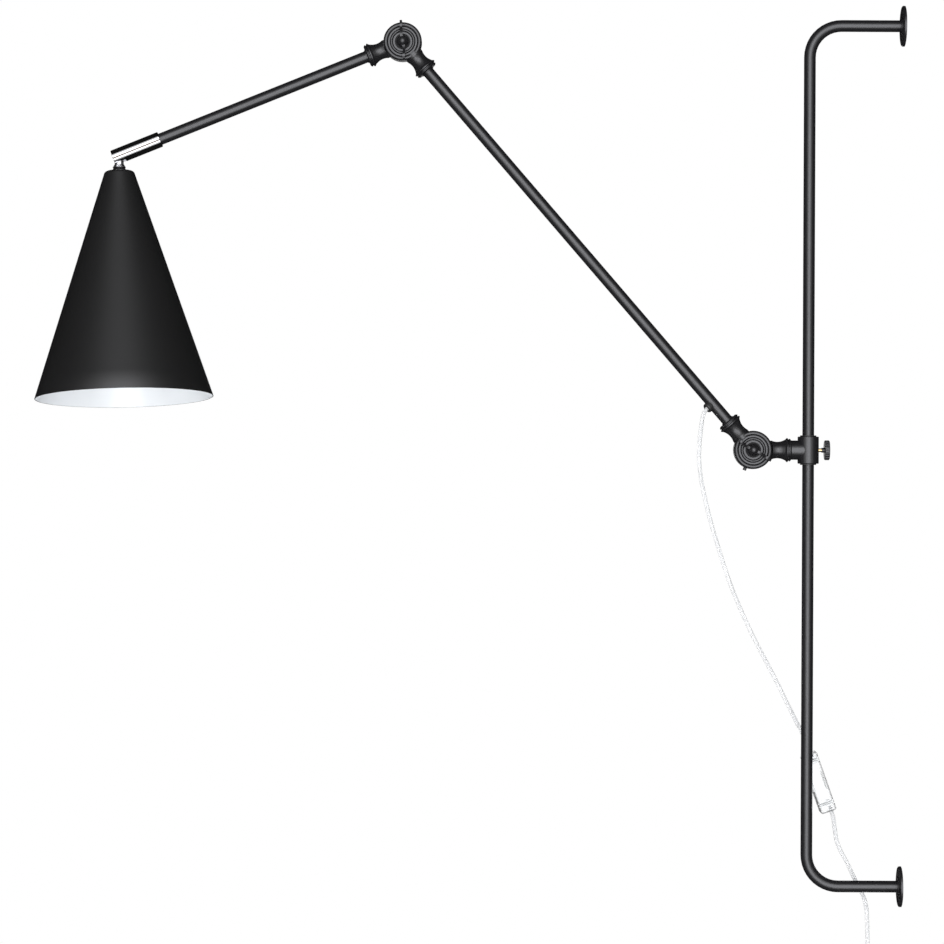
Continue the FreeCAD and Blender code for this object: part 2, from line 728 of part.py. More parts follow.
def lampholder():
    bore = stem_r + seat_gap
    wall = holder_cap_wall
    thread_r = holder_cap_r - wall - seat_gap
    cap = turned([
        (bore, holder_top), (holder_top_r, holder_top),
        (holder_cap_r - 3.2, holder_top + 6.2, holder_cap_r, holder_cap_shoulder),
        (holder_cap_r, holder_cap_end), (holder_cap_r - wall, holder_cap_end),
        (holder_cap_r - wall, holder_cap_shoulder),
        (holder_cap_r - 4.8, holder_top + 8.0, holder_top_r, holder_top + 4.0), (bore, holder_top + 4.0),
    ])
    save("lampholder_cap", placed(cap, shade_frame))
    body = turned([
        (holder_bore_r, holder_body_start), (thread_r, holder_body_start), (thread_r, holder_cap_end),
        (holder_cap_r, holder_cap_end), (holder_cap_r, holder_cap_end + 2), (holder_body_r, holder_cap_end + 2.6),
        (holder_body_r, holder_body_end - 1), (holder_body_r - 1, holder_body_end),
        (holder_bore_r, holder_body_end),
    ])
    save("lampholder_body", placed(body, shade_frame))
    base = rod(holder_bore_r - seat_gap, insulator_start, insulator_end)
    base = base.cut(rod(inner_cord_r + 0.6, insulator_start - 1, insulator_start + 4))
    contact_seat = insulator_end - contact_recess
    base = base.cut(rod(contact_recess_r, contact_seat, insulator_end + 1))
    save("lampholder_insulator", placed(base, shade_frame))
    shell_outer = shell_r + shell_wall
    shell = turned([
        (shell_r, insulator_end), (shell_outer, insulator_end), (shell_outer, shell_end),
        (holder_bore_r - seat_gap, shell_end + 0.4), (holder_bore_r - seat_gap, shell_end + 0.8),
        (shell_r, shell_end),
    ])
    save("lampholder_screw_shell", placed(shell, shade_frame))
    contact = turned([
        (0, contact_seat), (contact_r, contact_seat), (contact_r, contact_seat + 0.6),
        (contact_stem_r, contact_seat + 1.0), (contact_stem_r, contact_seat + contact_h - 1.0),
        dome(contact_stem_r, contact_seat + contact_h - 1.0, contact_seat + contact_h),
    ])
    save("lampholder_centre_contact", placed(contact, shade_frame))
    screws = [placed(rod(terminal_r, insulator_start - terminal_h, insulator_start, side * terminal_place),
                     shade_frame) for side in (-1, 1)]
    save("lampholder_terminal_screws", Part.makeCompound(screws))


def inner_cords():
    hole, way = cord_exit()
    start = hole - way * bushing_height
    low = base_pivot - way * 2.5
    front = out * channel_offset
    toward = lower_way * -1
    elbow_side = elbow_pivot + toward * 45 + front
    lower = [
        start, low + lower_way * bushing_place, low + lower_way * (bushing_place + 60),
        elbow_side + toward * 60, elbow_side,
    ]
    save("arm_cord_lower", swept(route_edges(lower), inner_cord_r))

    bisector = (toward + upper_way).normalize()
    upper_side = elbow_pivot + upper_way * 45 - front
    loop = [
        elbow_side, elbow_pivot + toward * 14.5 + front, elbow_pivot + bisector * 9.2,
        elbow_pivot + upper_way * 14.5 - front, upper_side,
    ]
    save("arm_cord_elbow", swept(route_edges(loop), inner_cord_r))
    upper = [
        upper_side, upper_side + upper_way * 60, ball_middle - upper_way * 90,
        ball_middle - upper_way * (ball_r + 0.4),
    ]
    save("arm_cord_upper", swept(route_edges(upper), inner_cord_r))
    turn_in = 5.4
    stem = [ball_middle - upper_way * turn_in, ball_middle, ball_middle + stem_way * turn_in]
    edges = route_edges(stem)[:-1]
    end = ball_middle + stem_way * (insulator_start + 3)
    last = edges[-1].valueAt(edges[-1].LastParameter)
    edges.append(Part.LineSegment(last, end).toShape())
    save("stem_cord", swept(edges, inner_cord_r))


# The hanging cord's route, chosen by eye from the photograph. It passes behind the bar.
upper_route = [
    (-223.0, -7.4, 520.4), (-224.4, -7.9, 509.0), (-226.4, -8.0, 493.0), (-226.9, -7.0, 467.0),
    (-220.6, -4.0, 431.5), (-207.6, 0.5, 385.5), (-190.6, 6.0, 333.8), (-167.4, 11.0, 281.5),
    (-138.9, 16.0, 229.2), (-116.2, 20.0, 183.0),
]
lower_route = [
    (-71.3, 22.0, 62.0), (-68.6, 21.6, 44.3), (-58.0, 21.2, 25.7), (-47.9, 21.0, 3.4),
    (-36.0, 21.0, -18.4), (-34.4, 21.0, -42.0),
]
cord_hang_x = -34.2
cord_hang_y = 21.0
cord_hang_end = -66.0


def switch_frame():
    lean = math.radians(switch_lean)
    down = vector(math.sin(lean), 0, -math.cos(lean))
    across = vector(math.cos(lean), 0, math.sin(lean))
    return frame(vector(*switch_top), down, across)


def hanging_cord():
    exit_point, exit_way = cord_exit()
    place = switch_frame()
    above = place.multVec(vector(switch_cord_offset, 0, -14.0))
    inside_top = place.multVec(vector(switch_cord_offset, 0, switch_cord_depth))
    start = exit_point - exit_way * bushing_height
    points = [start, exit_point + exit_way * 3.0] + [vector(*p) for p in upper_route]
    points += [above, inside_top]
    radii = []
    edges = route_edges(points, radii)
    solid = swept(edges, cord_r)
    report_tube("cord_upper", solid, edges, cord_r, radii)
    save("cord_upper", solid)

    inside_low = place.multVec(vector(switch_cord_offset, 0, switch_length - switch_cord_depth))
    below = place.multVec(vector(switch_cord_offset, 0, switch_length + 6.5))
    hang_end = vector(cord_hang_x, cord_hang_y, cord_hang_end)
    points = [inside_low, below] + [vector(*p) for p in lower_route] + [hang_end]
    radii = []
    edges = route_edges(points, radii)
    solid = swept(edges, cord_r)
    report_tube("cord_lower", solid, edges, cord_r, radii)
    save("cord_lower", solid)
    return edges[-1].tangentAt(edges[-1].LastParameter)


def rounded_box(width, depth, low, high, corner):
    box = Part.makeBox(width, depth, high - low, vector(-width / 2, -depth / 2, low))
    return box.makeFillet(corner, box.Edges)


def inline_switch():
    place = switch_frame()
    outer = rounded_box(switch_width, switch_depth, 0, switch_length, switch_corner)
    wall = switch_wall
    inner = rounded_box(switch_width - 2 * wall, switch_depth - 2 * wall, wall, switch_length - wall,
                        switch_corner - wall * 0.6)
    shell = outer.cut(inner).cut(rod(cord_r + switch_hole_gap, -1, switch_length + 1, switch_cord_offset))
    middle = switch_length / 2
    window = Part.makeBox(wall * 3, rocker_width + 2 * rocker_gap, rocker_length + 2 * rocker_gap,
                          vector(-switch_width / 2 - wall, -rocker_width / 2 - rocker_gap,
                                 middle - rocker_length / 2 - rocker_gap))
    screws = []
    holes = []
    left = -switch_width / 2
    for height in switch_screw_places:
        for_screw = frame(vector(left, switch_screw_side, height), vector(1, 0, 0), up)
        screws.append(placed(
            rod(switch_screw_head_r, 0, switch_screw_head_h).fuse(
                rod(switch_screw_r, 0, switch_width - wall - 1)).removeSplitter(), for_screw))
        holes.append(placed(
            rod(switch_screw_head_r + seat_gap, -1, switch_screw_head_h).fuse(
                rod(switch_screw_r + seat_gap, -1, switch_width - wall)), for_screw))
    pillars = []
    for height in switch_screw_places:
        pillars.append(placed(rod(switch_screw_head_r + 1.2, 0.4, switch_width - 0.4),
                              frame(vector(left, switch_screw_side, height), vector(1, 0, 0), up)))
    cord_way = rod(cord_r + switch_hole_gap, -1, switch_length + 1, switch_cord_offset)
    shell = shell.fuse(pillars).cut(cord_way).cut(holes).cut(window)
    big = 100.0
    left_side = Part.makeBox(big, big, 2 * big, vector(-big, -big / 2, -big / 2))
    right_side = Part.makeBox(big, big, 2 * big, vector(0, -big / 2, -big / 2))
    save("switch_shell_left", placed(shell.common(left_side), place))
    save("switch_shell_right", placed(shell.common(right_side), place))
    save("switch_screws", placed(Part.makeCompound(screws), place))

    crown = switch_width / 2 + rocker_height
    rocker = outline_face([
        (-crown + 0.4, middle - rocker_length / 2), (-crown - 0.6, middle - rocker_length / 4, -crown + 0.8, middle),
        (-crown - 0.6, middle + rocker_length / 4, -crown + 0.4, middle + rocker_length / 2),
        (rocker_inside - switch_width / 2, middle + rocker_length / 2 - 1.2),
        (rocker_inside - switch_width / 2, middle - rocker_length / 2 + 1.2),
    ]).extrude(vector(0, rocker_width, 0))
    rocker.translate(vector(0, -rocker_width / 2, 0))
    save("switch_rocker", placed(rocker, place))
    thick, wide, tall = contact_strip
    strips = [Part.makeBox(thick, wide, tall, vector(switch_width / 2 - wall - thick, side - wide / 2,
                                                     middle - tall / 2))
              for side in (-contact_strip_place, contact_strip_place)]
    save("switch_contacts", placed(Part.makeCompound(strips), place))


def biarc(start, start_way, end, end_way):
    """Two tangent arcs from start to end with those directions."""
    chord = end - start
    both = start_way + end_way
    a = both.dot(both) - 4
    b = -2 * chord.dot(both)
    c = chord.dot(chord)
    if abs(a) < 1e-9:
        reach = -c / b
    else:
        root = math.sqrt(b * b - 4 * a * c)
        reach = min(r for r in ((-b + root) / (2 * a), (-b - root) / (2 * a)) if r > 0)
    first = start + start_way * reach
    second = end - end_way * reach
    joint = (first + second) * 0.5
    edges = []
    for tip, corner, tail in ((start, first, joint), (joint, second, end)):
        middle = (tip + tail) * 0.5
        inward = middle - corner
        if inward.Length < 1e-6:
            edges.append(Part.LineSegment(tip, tail).toShape())
            continue
        half = (tail - tip).Length / 2
        leg = (corner - tip).Length
        radius = leg * half / inward.Length
        centre = corner + inward * (1 / inward.Length) * math.sqrt(radius ** 2 + leg ** 2)
        crown = centre - inward * (1 / inward.Length) * radius
        edges.append(Part.Arc(tip, crown, tail).toShape())
    return edges


def coil_shape():
    """The turns' total angle, the radius steps and where each layer's spiral reverses."""
    whole = 2 * math.pi * coil_turns + math.radians(coil_entry - coil_exit)
    return whole, whole / coil_layers


def coil_point(angle):
    """A point of the winding, clockwise from its entry: (radius, depth)."""
    whole, layer = coil_shape()
    rate = coil_pitch / (2 * math.pi)
    inner = coil_mean_r - rate * layer / 2
    bend = math.pi / 2
    depth = 0.0
    for number in range(1, coil_layers):
        share = (angle - number * layer + bend) / (2 * bend)
        share = min(max(share, 0.0), 1.0)
        depth += coil_pitch * share * share * (3 - 2 * share)
    phase = angle % (2 * layer)
    from_inside = abs(phase - layer)
    if from_inside < bend and layer * 0.5 < angle:
        from_inside = from_inside ** 2 / (2 * bend) + bend / 2
    from_outside = min(phase, 2 * layer - phase)
    if from_outside < bend and layer * 0.5 < angle < whole - layer * 0.5:
        from_inside = layer - (from_outside ** 2 / (2 * bend) + bend / 2)
    return inner + rate * from_inside, depth


def coil_middle():
    entry = math.radians(coil_entry)
    radius = coil_point(0.0)[0]
    start = cord_hang_end - coil_end_run
    drop = radius * math.sin(entry)
    x = cord_hang_x + radius * (1 - math.cos(entry)) - radius * math.cos(entry)
    return vector(x, cord_hang_y, start - 2 * drop)


def coil_place(angle):
    radius, depth = coil_point(angle)
    bearing = math.radians(coil_entry) - angle
    return coil_middle() + vector(radius * math.cos(bearing), depth, radius * math.sin(bearing))


def coil_heading(angle):
    small = 1e-4
    return (coil_place(angle + small) - coil_place(angle - small)).normalize()


def coil(arrival):
    whole = coil_shape()[0]
    steps = math.ceil(whole / (math.pi / 2))
    angles = [whole * n / steps for n in range(steps + 1)]
    start = vector(cord_hang_x, cord_hang_y, cord_hang_end)
    first = start + arrival * coil_end_run
    edges = [Part.LineSegment(start, first).toShape()]
    edges += biarc(first, arrival, coil_place(0.0), coil_heading(0.0))
    for a, b in zip(angles, angles[1:]):
        edges += biarc(coil_place(a), coil_heading(a), coil_place(b), coil_heading(b))
    last = coil_place(whole)
    leave = last + coil_heading(whole) * coil_end_run
    edges.append(Part.LineSegment(last, leave).toShape())
    solid = swept(edges, cord_r)
    length = sum(edge.Length for edge in edges)
    share = solid.Volume / (math.pi * cord_r ** 2 * length)
    print("cord_coil: %.1f mm long, volume %.4f of section times length" % (length, share))
    report_gap(edges)
    save("cord_coil", solid)
    return leave, coil_heading(whole)


def report_gap(edges):
    """The least gap between two turns, measured on points along the winding."""
    points = []
    walked = []
    at = 0.0
    for edge in edges:
        count = max(2, int(edge.Length / 1.0))
        for n in range(count):
            share = n / count
            parameter = edge.FirstParameter + share * (edge.LastParameter - edge.FirstParameter)
            points.append(edge.valueAt(parameter))
            walked.append(at + share * edge.Length)
        at += edge.Length
    least = min(points[i].distanceToPoint(points[j])
                for i in range(len(points)) for j in range(i + 1, len(points))
                if walked[j] - walked[i] > 10 * cord_r)
    print("cord_coil: least gap between turns %.2f mm" % (least - 2 * cord_r))


def coil_tie():
    layer = coil_shape()[1]
    rate = coil_pitch / (2 * math.pi)
    inner_r = coil_mean_r - rate * layer / 2 - cord_r - tie_gap
    outer_r = coil_mean_r + rate * layer / 2 + cord_r + tie_gap
    near = -cord_r - tie_gap
    far = coil_pitch * (coil_layers - 1) + cord_r + tie_gap
    band = Part.makeBox(outer_r - inner_r + 2 * tie_wall, tie_width, far - near + 2 * tie_wall,
                        vector(inner_r - tie_wall, -tie_width / 2, near - tie_wall))
    hollow = Part.makeBox(outer_r - inner_r, tie_width + 2, far - near,
                          vector(inner_r, -tie_width / 2 - 1, near))
    save("coil_tie", placed(band.cut(hollow),
                            frame(coil_middle(), out * -1, in_picture(tie_place))))


def plug(leave, leave_way):
    down = up * -1
    between = (leave_way + down).normalize()
    first = leave + leave_way * plug_lead_run
    second = first + between * (plug_lead_run + 1)
    points = [leave, first, second, second + down * plug_lead_run]
    top = points[-1]
    radii = []
    edges = route_edges(points, radii)
    solid = swept(edges, cord_r)
    report_tube("cord_tail", solid, edges, cord_r, radii)
    save("cord_tail", solid)
    way = (points[-1] - points[-2]).normalize()
    place = frame(top, way, vector(1, 0, 0))
    relief = turned([
        (0, 0), (cord_r + 0.8, 0), (plug_relief_r, plug_relief_length), (0, plug_relief_length)])
    low = plug_relief_length
    levels = [
        (plug_top_width, plug_top_depth, low), (plug_width - 4, plug_depth - 0.8, low + 14),
        (plug_width, plug_depth, low + 22), (plug_width, plug_depth, low + plug_length),
    ]
    wires = []
    for width, depth, height in levels:
        x = width / 2
        y = depth / 2
        chamfer = depth / 2 - 1.0
        corners = [(-x, -y + chamfer), (-x + chamfer, -y), (x - chamfer, -y), (x, -y + chamfer),
                   (x, y - chamfer), (x - chamfer, y), (-x + chamfer, y), (-x, y - chamfer)]
        corners.append(corners[0])
        wires.append(Part.makePolygon([vector(a, b, height) for a, b in corners]))
    body = Part.makeLoft(wires, True, True)
    save("plug_body", placed(body.fuse(relief).removeSplitter(), place))
    end = low + plug_length
    pins = []
    for side in (-1, 1):
        x = side * plug_pin_spacing / 2
        tip = end + plug_pin_length
        pins.append(rod(plug_pin_r, end, tip - plug_pin_r, x).fuse(
            Part.makeSphere(plug_pin_r, vector(x, 0, tip - plug_pin_r))).removeSplitter())
    save("plug_pins", placed(Part.makeCompound(pins), place))


def main():
    os.makedirs("parts", exist_ok=True)
    wall_bar()
    wall_flange("upper_wall_flange", bar_height, 0.0)
    wall_flange("lower_wall_flange", 0.0, 180.0)
    slider()
    thumb_screw()
    knuckles()
    fasteners("base", base_bolt_frame, base_wing_angle)
    fasteners("elbow", elbow_bolt_frame, elbow_wing_angle)
    arms()
    sleeve_and_ball()
    shade_parts()
    lampholder()
    inner_cords()
    arrival = hanging_cord()
    inline_switch()
    leave, leave_way = coil(arrival)
    coil_tie()
    plug(leave, leave_way)


main()
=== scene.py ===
import math

import bmesh
import bpy
from mathutils import Matrix, Vector


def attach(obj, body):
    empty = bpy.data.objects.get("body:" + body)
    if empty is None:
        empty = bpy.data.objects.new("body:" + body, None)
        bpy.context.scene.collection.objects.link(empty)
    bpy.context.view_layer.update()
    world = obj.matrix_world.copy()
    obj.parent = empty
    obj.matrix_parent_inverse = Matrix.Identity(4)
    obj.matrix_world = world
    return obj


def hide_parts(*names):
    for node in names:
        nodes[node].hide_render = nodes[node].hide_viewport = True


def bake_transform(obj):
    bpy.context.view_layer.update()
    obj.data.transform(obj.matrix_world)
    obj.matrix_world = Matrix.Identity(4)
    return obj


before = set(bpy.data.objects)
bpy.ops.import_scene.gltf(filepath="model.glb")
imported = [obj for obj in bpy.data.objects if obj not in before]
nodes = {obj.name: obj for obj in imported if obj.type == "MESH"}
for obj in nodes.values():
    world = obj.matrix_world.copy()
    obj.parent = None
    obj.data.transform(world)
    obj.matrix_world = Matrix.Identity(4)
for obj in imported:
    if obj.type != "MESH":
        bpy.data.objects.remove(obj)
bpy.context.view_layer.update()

scene = bpy.context.scene
scene.view_settings.view_transform = "Standard"
print("frame loaded")

# Meshes and objects are in metres, in the frame of the CAD model. Settings are in millimetres and
# degrees, apart from those whose comment says otherwise.
mm = 0.001


def shown(obj):
    if obj.name not in scene.collection.objects:
        scene.collection.objects.link(obj)
    return obj


def vectorMm(point):
    return Vector(point) * mm


# near and far in metres, roll in radians
cameraSettings = {
    "place": (-478.0, -3660.0, 458.1),
    "lens": 125.75,
    "sensor": 36.0,
    "near": 0.05,
    "far": 100.0,
    "roll": 0.00454,
}


def makeCamera(s):
    data = bpy.data.cameras.new("camera")
    data.lens = s["lens"]
    data.sensor_width = s["sensor"]
    data.clip_start = s["near"]
    data.clip_end = s["far"]
    camera = shown(bpy.data.objects.new("camera", data))
    right = Vector((math.cos(s["roll"]), 0, math.sin(s["roll"])))
    above = Vector((-math.sin(s["roll"]), 0, math.cos(s["roll"])))
    back = Vector((0, -1, 0))
    turn = Matrix((right, above, back)).transposed().to_4x4()
    camera.matrix_world = Matrix.Translation(vectorMm(s["place"])) @ turn
    scene.camera = camera


makeCamera(cameraSettings)


lampSizes = {
    "barReach": 105.0,
    "clampHeight": 484.0,
    "pivotReach": 61.6,
    "lowerArm": 596.3,
    "lowerAngle": 130.9,
    "upperArm": 339.2,
    "upperAngle": 202.07,
    "sleeveRoll": 5.26,
    "shadeTilt": 70.0,
}


def inPicture(angle):
    return Vector((math.cos(math.radians(angle)), 0, math.sin(math.radians(angle))))


def lampPlaces(s):
    out = Vector((0, -1, 0))
    basePivot = Vector((-s["barReach"] - s["pivotReach"], 0, s["clampHeight"]))
    lowerWay = inPicture(s["lowerAngle"])
    elbow = basePivot + lowerWay * s["lowerArm"]
    upperWay = inPicture(s["upperAngle"])
    ball = elbow + upperWay * s["upperArm"]
    roll = math.radians(s["sleeveRoll"])
    slotWay = inPicture(s["upperAngle"] + 90) * math.cos(roll) + out * math.sin(roll)
    tilt = math.radians(s["shadeTilt"])
    stemWay = upperWay * math.cos(tilt) + slotWay * math.sin(tilt)
    return basePivot, lowerWay, elbow, upperWay, ball, slotWay, stemWay


basePivot, lowerWay, elbowPivot, upperWay, ballMiddle, slotWay, stemWay = lampPlaces(lampSizes)


def axisFrame(place, along, aside):
    # puts a mesh's own Z along one direction and its X near another, and scales mm to metres
    z = Vector(along).normalized()
    x = Vector(aside)
    x = (x - z * x.dot(z)).normalized()
    y = z.cross(x)
    turn = Matrix((x, y, z)).transposed().to_4x4()
    return Matrix.Translation(vectorMm(place)) @ turn @ Matrix.Scale(mm, 4)


shadeFrame = axisFrame(ballMiddle, stemWay, slotWay)


def newMaterial(name):
    material = bpy.data.materials.new(name)
    material.use_nodes = True
    tree = material.node_tree
    shader = tree.nodes["Principled BSDF"]
    return material, tree, shader


def addNode(tree, kind, **values):
    node = tree.nodes.new(kind)
    for key, value in values.items():
        setattr(node, key, value)
    return node


def rangeNode(tree, source, low, high):
    node = addNode(tree, "ShaderNodeMapRange")
    node.inputs["To Min"].default_value = low
    node.inputs["To Max"].default_value = high
    tree.links.new(source, node.inputs["Value"])
    return node.outputs["Result"]


def noiseOn(tree, scale, detail):
    coords = addNode(tree, "ShaderNodeTexCoord")
    noise = addNode(tree, "ShaderNodeTexNoise")
    noise.inputs["Scale"].default_value = scale
    noise.inputs["Detail"].default_value = detail
    tree.links.new(coords.outputs["Object"], noise.inputs["Vector"])
    return noise.outputs["Fac"]


def bumpOn(tree, shader, height, strength, distance):
    bump = addNode(tree, "ShaderNodeBump")
    bump.inputs["Strength"].default_value = strength
    bump.inputs["Distance"].default_value = distance
    tree.links.new(height, bump.inputs["Height"])
    tree.links.new(bump.outputs["Normal"], shader.inputs["Normal"])


def colourBetween(tree, shader, factor, first, second):
    mix = addNode(tree, "ShaderNodeMix", data_type="RGBA")
    mix.inputs["A"].default_value = (*first, 1)
    mix.inputs["B"].default_value = (*second, 1)
    tree.links.new(factor, mix.inputs["Factor"])
    tree.links.new(mix.outputs["Result"], shader.inputs["Base Color"])


# what a finish has unless it says otherwise; blotch, gloss and skin are noise scales, depth is in metres
plainFinish = {
    "metal": 0.0, "ior": 1.5, "shine": 0.5, "coat": 0.0, "coatRough": 0.1, "clear": 0.0,
    "blotch": 60.0, "blotchDetail": 3.0, "gloss": 900.0, "skinDetail": 2.0,
    "bump": 0.0, "skin": 1400.0, "depth": 0.00004,
}
shaderInputs = {
    "Metallic": "metal", "IOR": "ior", "Specular IOR Level": "shine", "Coat Weight": "coat",
    "Coat Roughness": "coatRough", "Transmission Weight": "clear",
}


def finish(name, changes):
    # one recipe for every opaque or clear finish: two close colours, uneven gloss and a fine skin
    s = {**plainFinish, **changes}
    material, tree, shader = newMaterial(name)
    for label, key in shaderInputs.items():
        shader.inputs[label].default_value = s[key]
    blotch = noiseOn(tree, s["blotch"], s["blotchDetail"])
    colourBetween(tree, shader, blotch, s["colour"], s["colour2"])
    fine = noiseOn(tree, s["gloss"], s["skinDetail"])
    tree.links.new(rangeNode(tree, fine, *s["rough"]), shader.inputs["Roughness"])
    if s["bump"]:
        bumpOn(tree, shader, noiseOn(tree, s["skin"], s["skinDetail"]), s["bump"], s["depth"])
    return material


finishes = {
    "blackPaint": {
        "colour": (0.0105, 0.0105, 0.0120), "colour2": (0.0150, 0.0146, 0.0165), "rough": (0.27, 0.36),
        "bump": 0.14, "skin": 1500.0, "blotch": 40.0, "shine": 0.62,
    },
    "blackSteel": {
        "colour": (0.0070, 0.0070, 0.0075), "colour2": (0.0100, 0.0098, 0.0105), "rough": (0.42, 0.55),
        "bump": 0.1, "skin": 1800.0, "shine": 0.12,
    },
    "shadeBlack": {
        "colour": (0.0090, 0.0090, 0.0094), "colour2": (0.0108, 0.0108, 0.0112), "rough": (0.40, 0.48),
        "bump": 0.08, "skin": 2200.0, "blotch": 14.0, "shine": 0.5,
    },
    "shadeWhite": {
        "colour": (0.88, 0.91, 0.945), "colour2": (0.91, 0.935, 0.96), "rough": (0.2, 0.28), "coat": 0.3,
        "bump": 0.05, "skin": 900.0, "blotch": 20.0,
    },
    "chrome": {
        "colour": (0.56, 0.56, 0.57), "colour2": (0.52, 0.52, 0.53), "metal": 1.0, "rough": (0.03, 0.06),
        "blotch": 90.0,
    },
    "satinSteel": {
        "colour": (0.93, 0.93, 0.94), "colour2": (0.86, 0.86, 0.88), "metal": 1.0, "rough": (0.3, 0.38),
        "bump": 0.02, "skin": 900.0,
    },
    "zinc": {
        "colour": (0.58, 0.58, 0.58), "colour2": (0.48, 0.48, 0.47), "metal": 1.0, "rough": (0.26, 0.38),
        "bump": 0.1, "skin": 2500.0,
    },
    "brass": {
        "colour": (0.74, 0.56, 0.28), "colour2": (0.66, 0.47, 0.22), "metal": 1.0, "rough": (0.2, 0.32),
        "bump": 0.06, "skin": 1800.0,
    },
    "blackNylon": {
        "colour": (0.018, 0.018, 0.018), "colour2": (0.024, 0.024, 0.024), "rough": (0.42, 0.55),
        "bump": 0.12, "skin": 1200.0,
    },
    "fibre": {
        "colour": (0.13, 0.085, 0.055), "colour2": (0.2, 0.14, 0.09), "rough": (0.7, 0.85),
        "bump": 0.3, "skin": 1600.0,
    },
    "bakelite": {
        "colour": (0.011, 0.011, 0.011), "colour2": (0.016, 0.016, 0.016), "rough": (0.16, 0.24), "coat": 0.3,
        "bump": 0.04, "skin": 600.0,
    },
    "ceramic": {
        "colour": (0.8, 0.79, 0.75), "colour2": (0.74, 0.73, 0.69), "rough": (0.12, 0.2), "coat": 0.5,
        "bump": 0.06, "skin": 500.0,
    },
    "clearPvc": {
        "colour": (0.905, 0.91, 0.915), "colour2": (0.885, 0.89, 0.90), "rough": (0.01, 0.03), "clear": 0.62,
        "ior": 1.33,
    },
    "paleWire": {
        "colour": (0.95, 0.955, 0.96), "colour2": (0.92, 0.925, 0.94), "rough": (0.35, 0.45),
        "bump": 0.08, "skin": 1500.0,
    },
    "clearCase": {
        "colour": (0.975, 0.98, 0.985), "colour2": (0.955, 0.965, 0.97), "rough": (0.02, 0.06), "clear": 1.0,
        "ior": 1.33, "bump": 0.03, "skin": 500.0,
    },
    "whitePlastic": {
        "colour": (0.82, 0.82, 0.81), "colour2": (0.79, 0.79, 0.78), "rough": (0.3, 0.4),
        "bump": 0.08, "skin": 1300.0,
    },
}
materials = {name: finish(name, settings) for name, settings in finishes.items()}

nodeFinishes = {
    "blackPaint": [
        "wall_bar_tube", "upper_wall_flange", "lower_wall_flange", "clamp_body", "clamp_lock_ring",
        "thumb_screw_knob", "base_knuckle_rear", "base_knuckle_front", "base_wing_nut", "lower_arm_tube",
        "lower_arm_base_ferrule", "lower_arm_elbow_ferrule", "elbow_knuckle_front", "elbow_knuckle_rear",
        "elbow_wing_nut", "upper_arm_tube", "upper_arm_ferrule", "shade_neck_ring", "shade", "base_stop_pin",
    ],
    "blackSteel": ["base_flat_washer", "elbow_flat_washer"],
    "zinc": [
        "clamp_nipple", "base_bolt", "elbow_bolt", "upper_arm_end_nut", "shade_lock_washer",
        "shade_lock_nut", "lampholder_terminal_screws", "switch_screws", "switch_contacts",
    ],
    "chrome": ["end_sleeve", "plug_pins"],
    "satinSteel": ["ball_stud", "stem_collar"],
    "brass": ["thumb_screw_shank", "lampholder_screw_shell", "lampholder_centre_contact"],
    "blackNylon": ["slider_bush_upper", "slider_bush_lower", "cord_bushing", "ball_seat"],
    "fibre": ["base_friction_washer", "elbow_friction_washer"],
    "bakelite": ["lampholder_cap", "lampholder_body"],
    "ceramic": ["lampholder_insulator"],
    "clearPvc": ["cord_upper", "cord_lower", "cord_coil", "cord_tail"],
    "paleWire": ["arm_cord_lower", "arm_cord_elbow", "arm_cord_upper", "stem_cord"],
    "clearCase": ["switch_shell_left", "switch_shell_right", "switch_rocker"],
    "whitePlastic": ["coil_tie", "plug_body"],
}
for finishName, members in nodeFinishes.items():
    for member in members:
        slots = nodes[member].data.materials
        slots.clear()
        slots.append(materials[finishName])
print("materials made")


curveSettings = {"order": 3, "steps": 8, "roundness": 5}


def cordCurve(name, points, radius, material):
    data = bpy.data.curves.new(name, "CURVE")
    data.dimensions = "3D"
    spline = data.splines.new("NURBS")
    spline.points.add(len(points) - 1)
    for item, point in zip(spline.points, points):
        item.co = (*vectorMm(point), 1.0)
    spline.order_u = curveSettings["order"]
    spline.use_endpoint_u = True
    spline.resolution_u = curveSettings["steps"]
    data.bevel_depth = radius * mm
    data.bevel_resolution = curveSettings["roundness"]
    data.use_fill_caps = True
    data.materials.append(material)
    return shown(bpy.data.objects.new(name, data))


cordSettings = {
    "radius": 2.3,
    "switchTop": (-101.6, 22.0, 146.1),
    "switchLean": 19.6,
    "switchLength": 68.7,
    "cordOffset": 3.5,
    "cordDepth": 6.0,
    "leadIn": 14.0,
    "leadOut": 6.5,
    "bushingPlace": 68.0,
    "bushingTurn": 25.0,
    "tubeRadius": 6.5,
    "bushingHeight": 3.6,
    "bushingLead": 3.0,
    "upper": [
        (-223.0, -7.4, 520.4), (-224.4, -7.9, 509.0), (-226.4, -8.0, 493.0), (-226.9, -7.0, 467.0),
        (-220.6, -4.0, 431.5), (-207.6, 0.5, 385.5), (-190.6, 6.0, 333.8), (-167.4, 11.0, 281.5),
        (-138.9, 16.0, 229.2), (-116.2, 20.0, 183.0),
    ],
    "lower": [
        (-71.3, 22.0, 62.0), (-68.6, 21.6, 44.3), (-58.0, 21.2, 25.7), (-47.9, 21.0, 3.4),
        (-36.0, 21.0, -18.4), (-34.4, 21.0, -42.0),
    ],
    "hangEnd": (-34.2, 21.0, -66.0),
}


def switchPlaces(s):
    lean = math.radians(s["switchLean"])
    down = Vector((math.sin(lean), 0, -math.cos(lean)))
    across = Vector((math.cos(lean), 0, math.sin(lean)))
    return Vector(s["switchTop"]), down, across


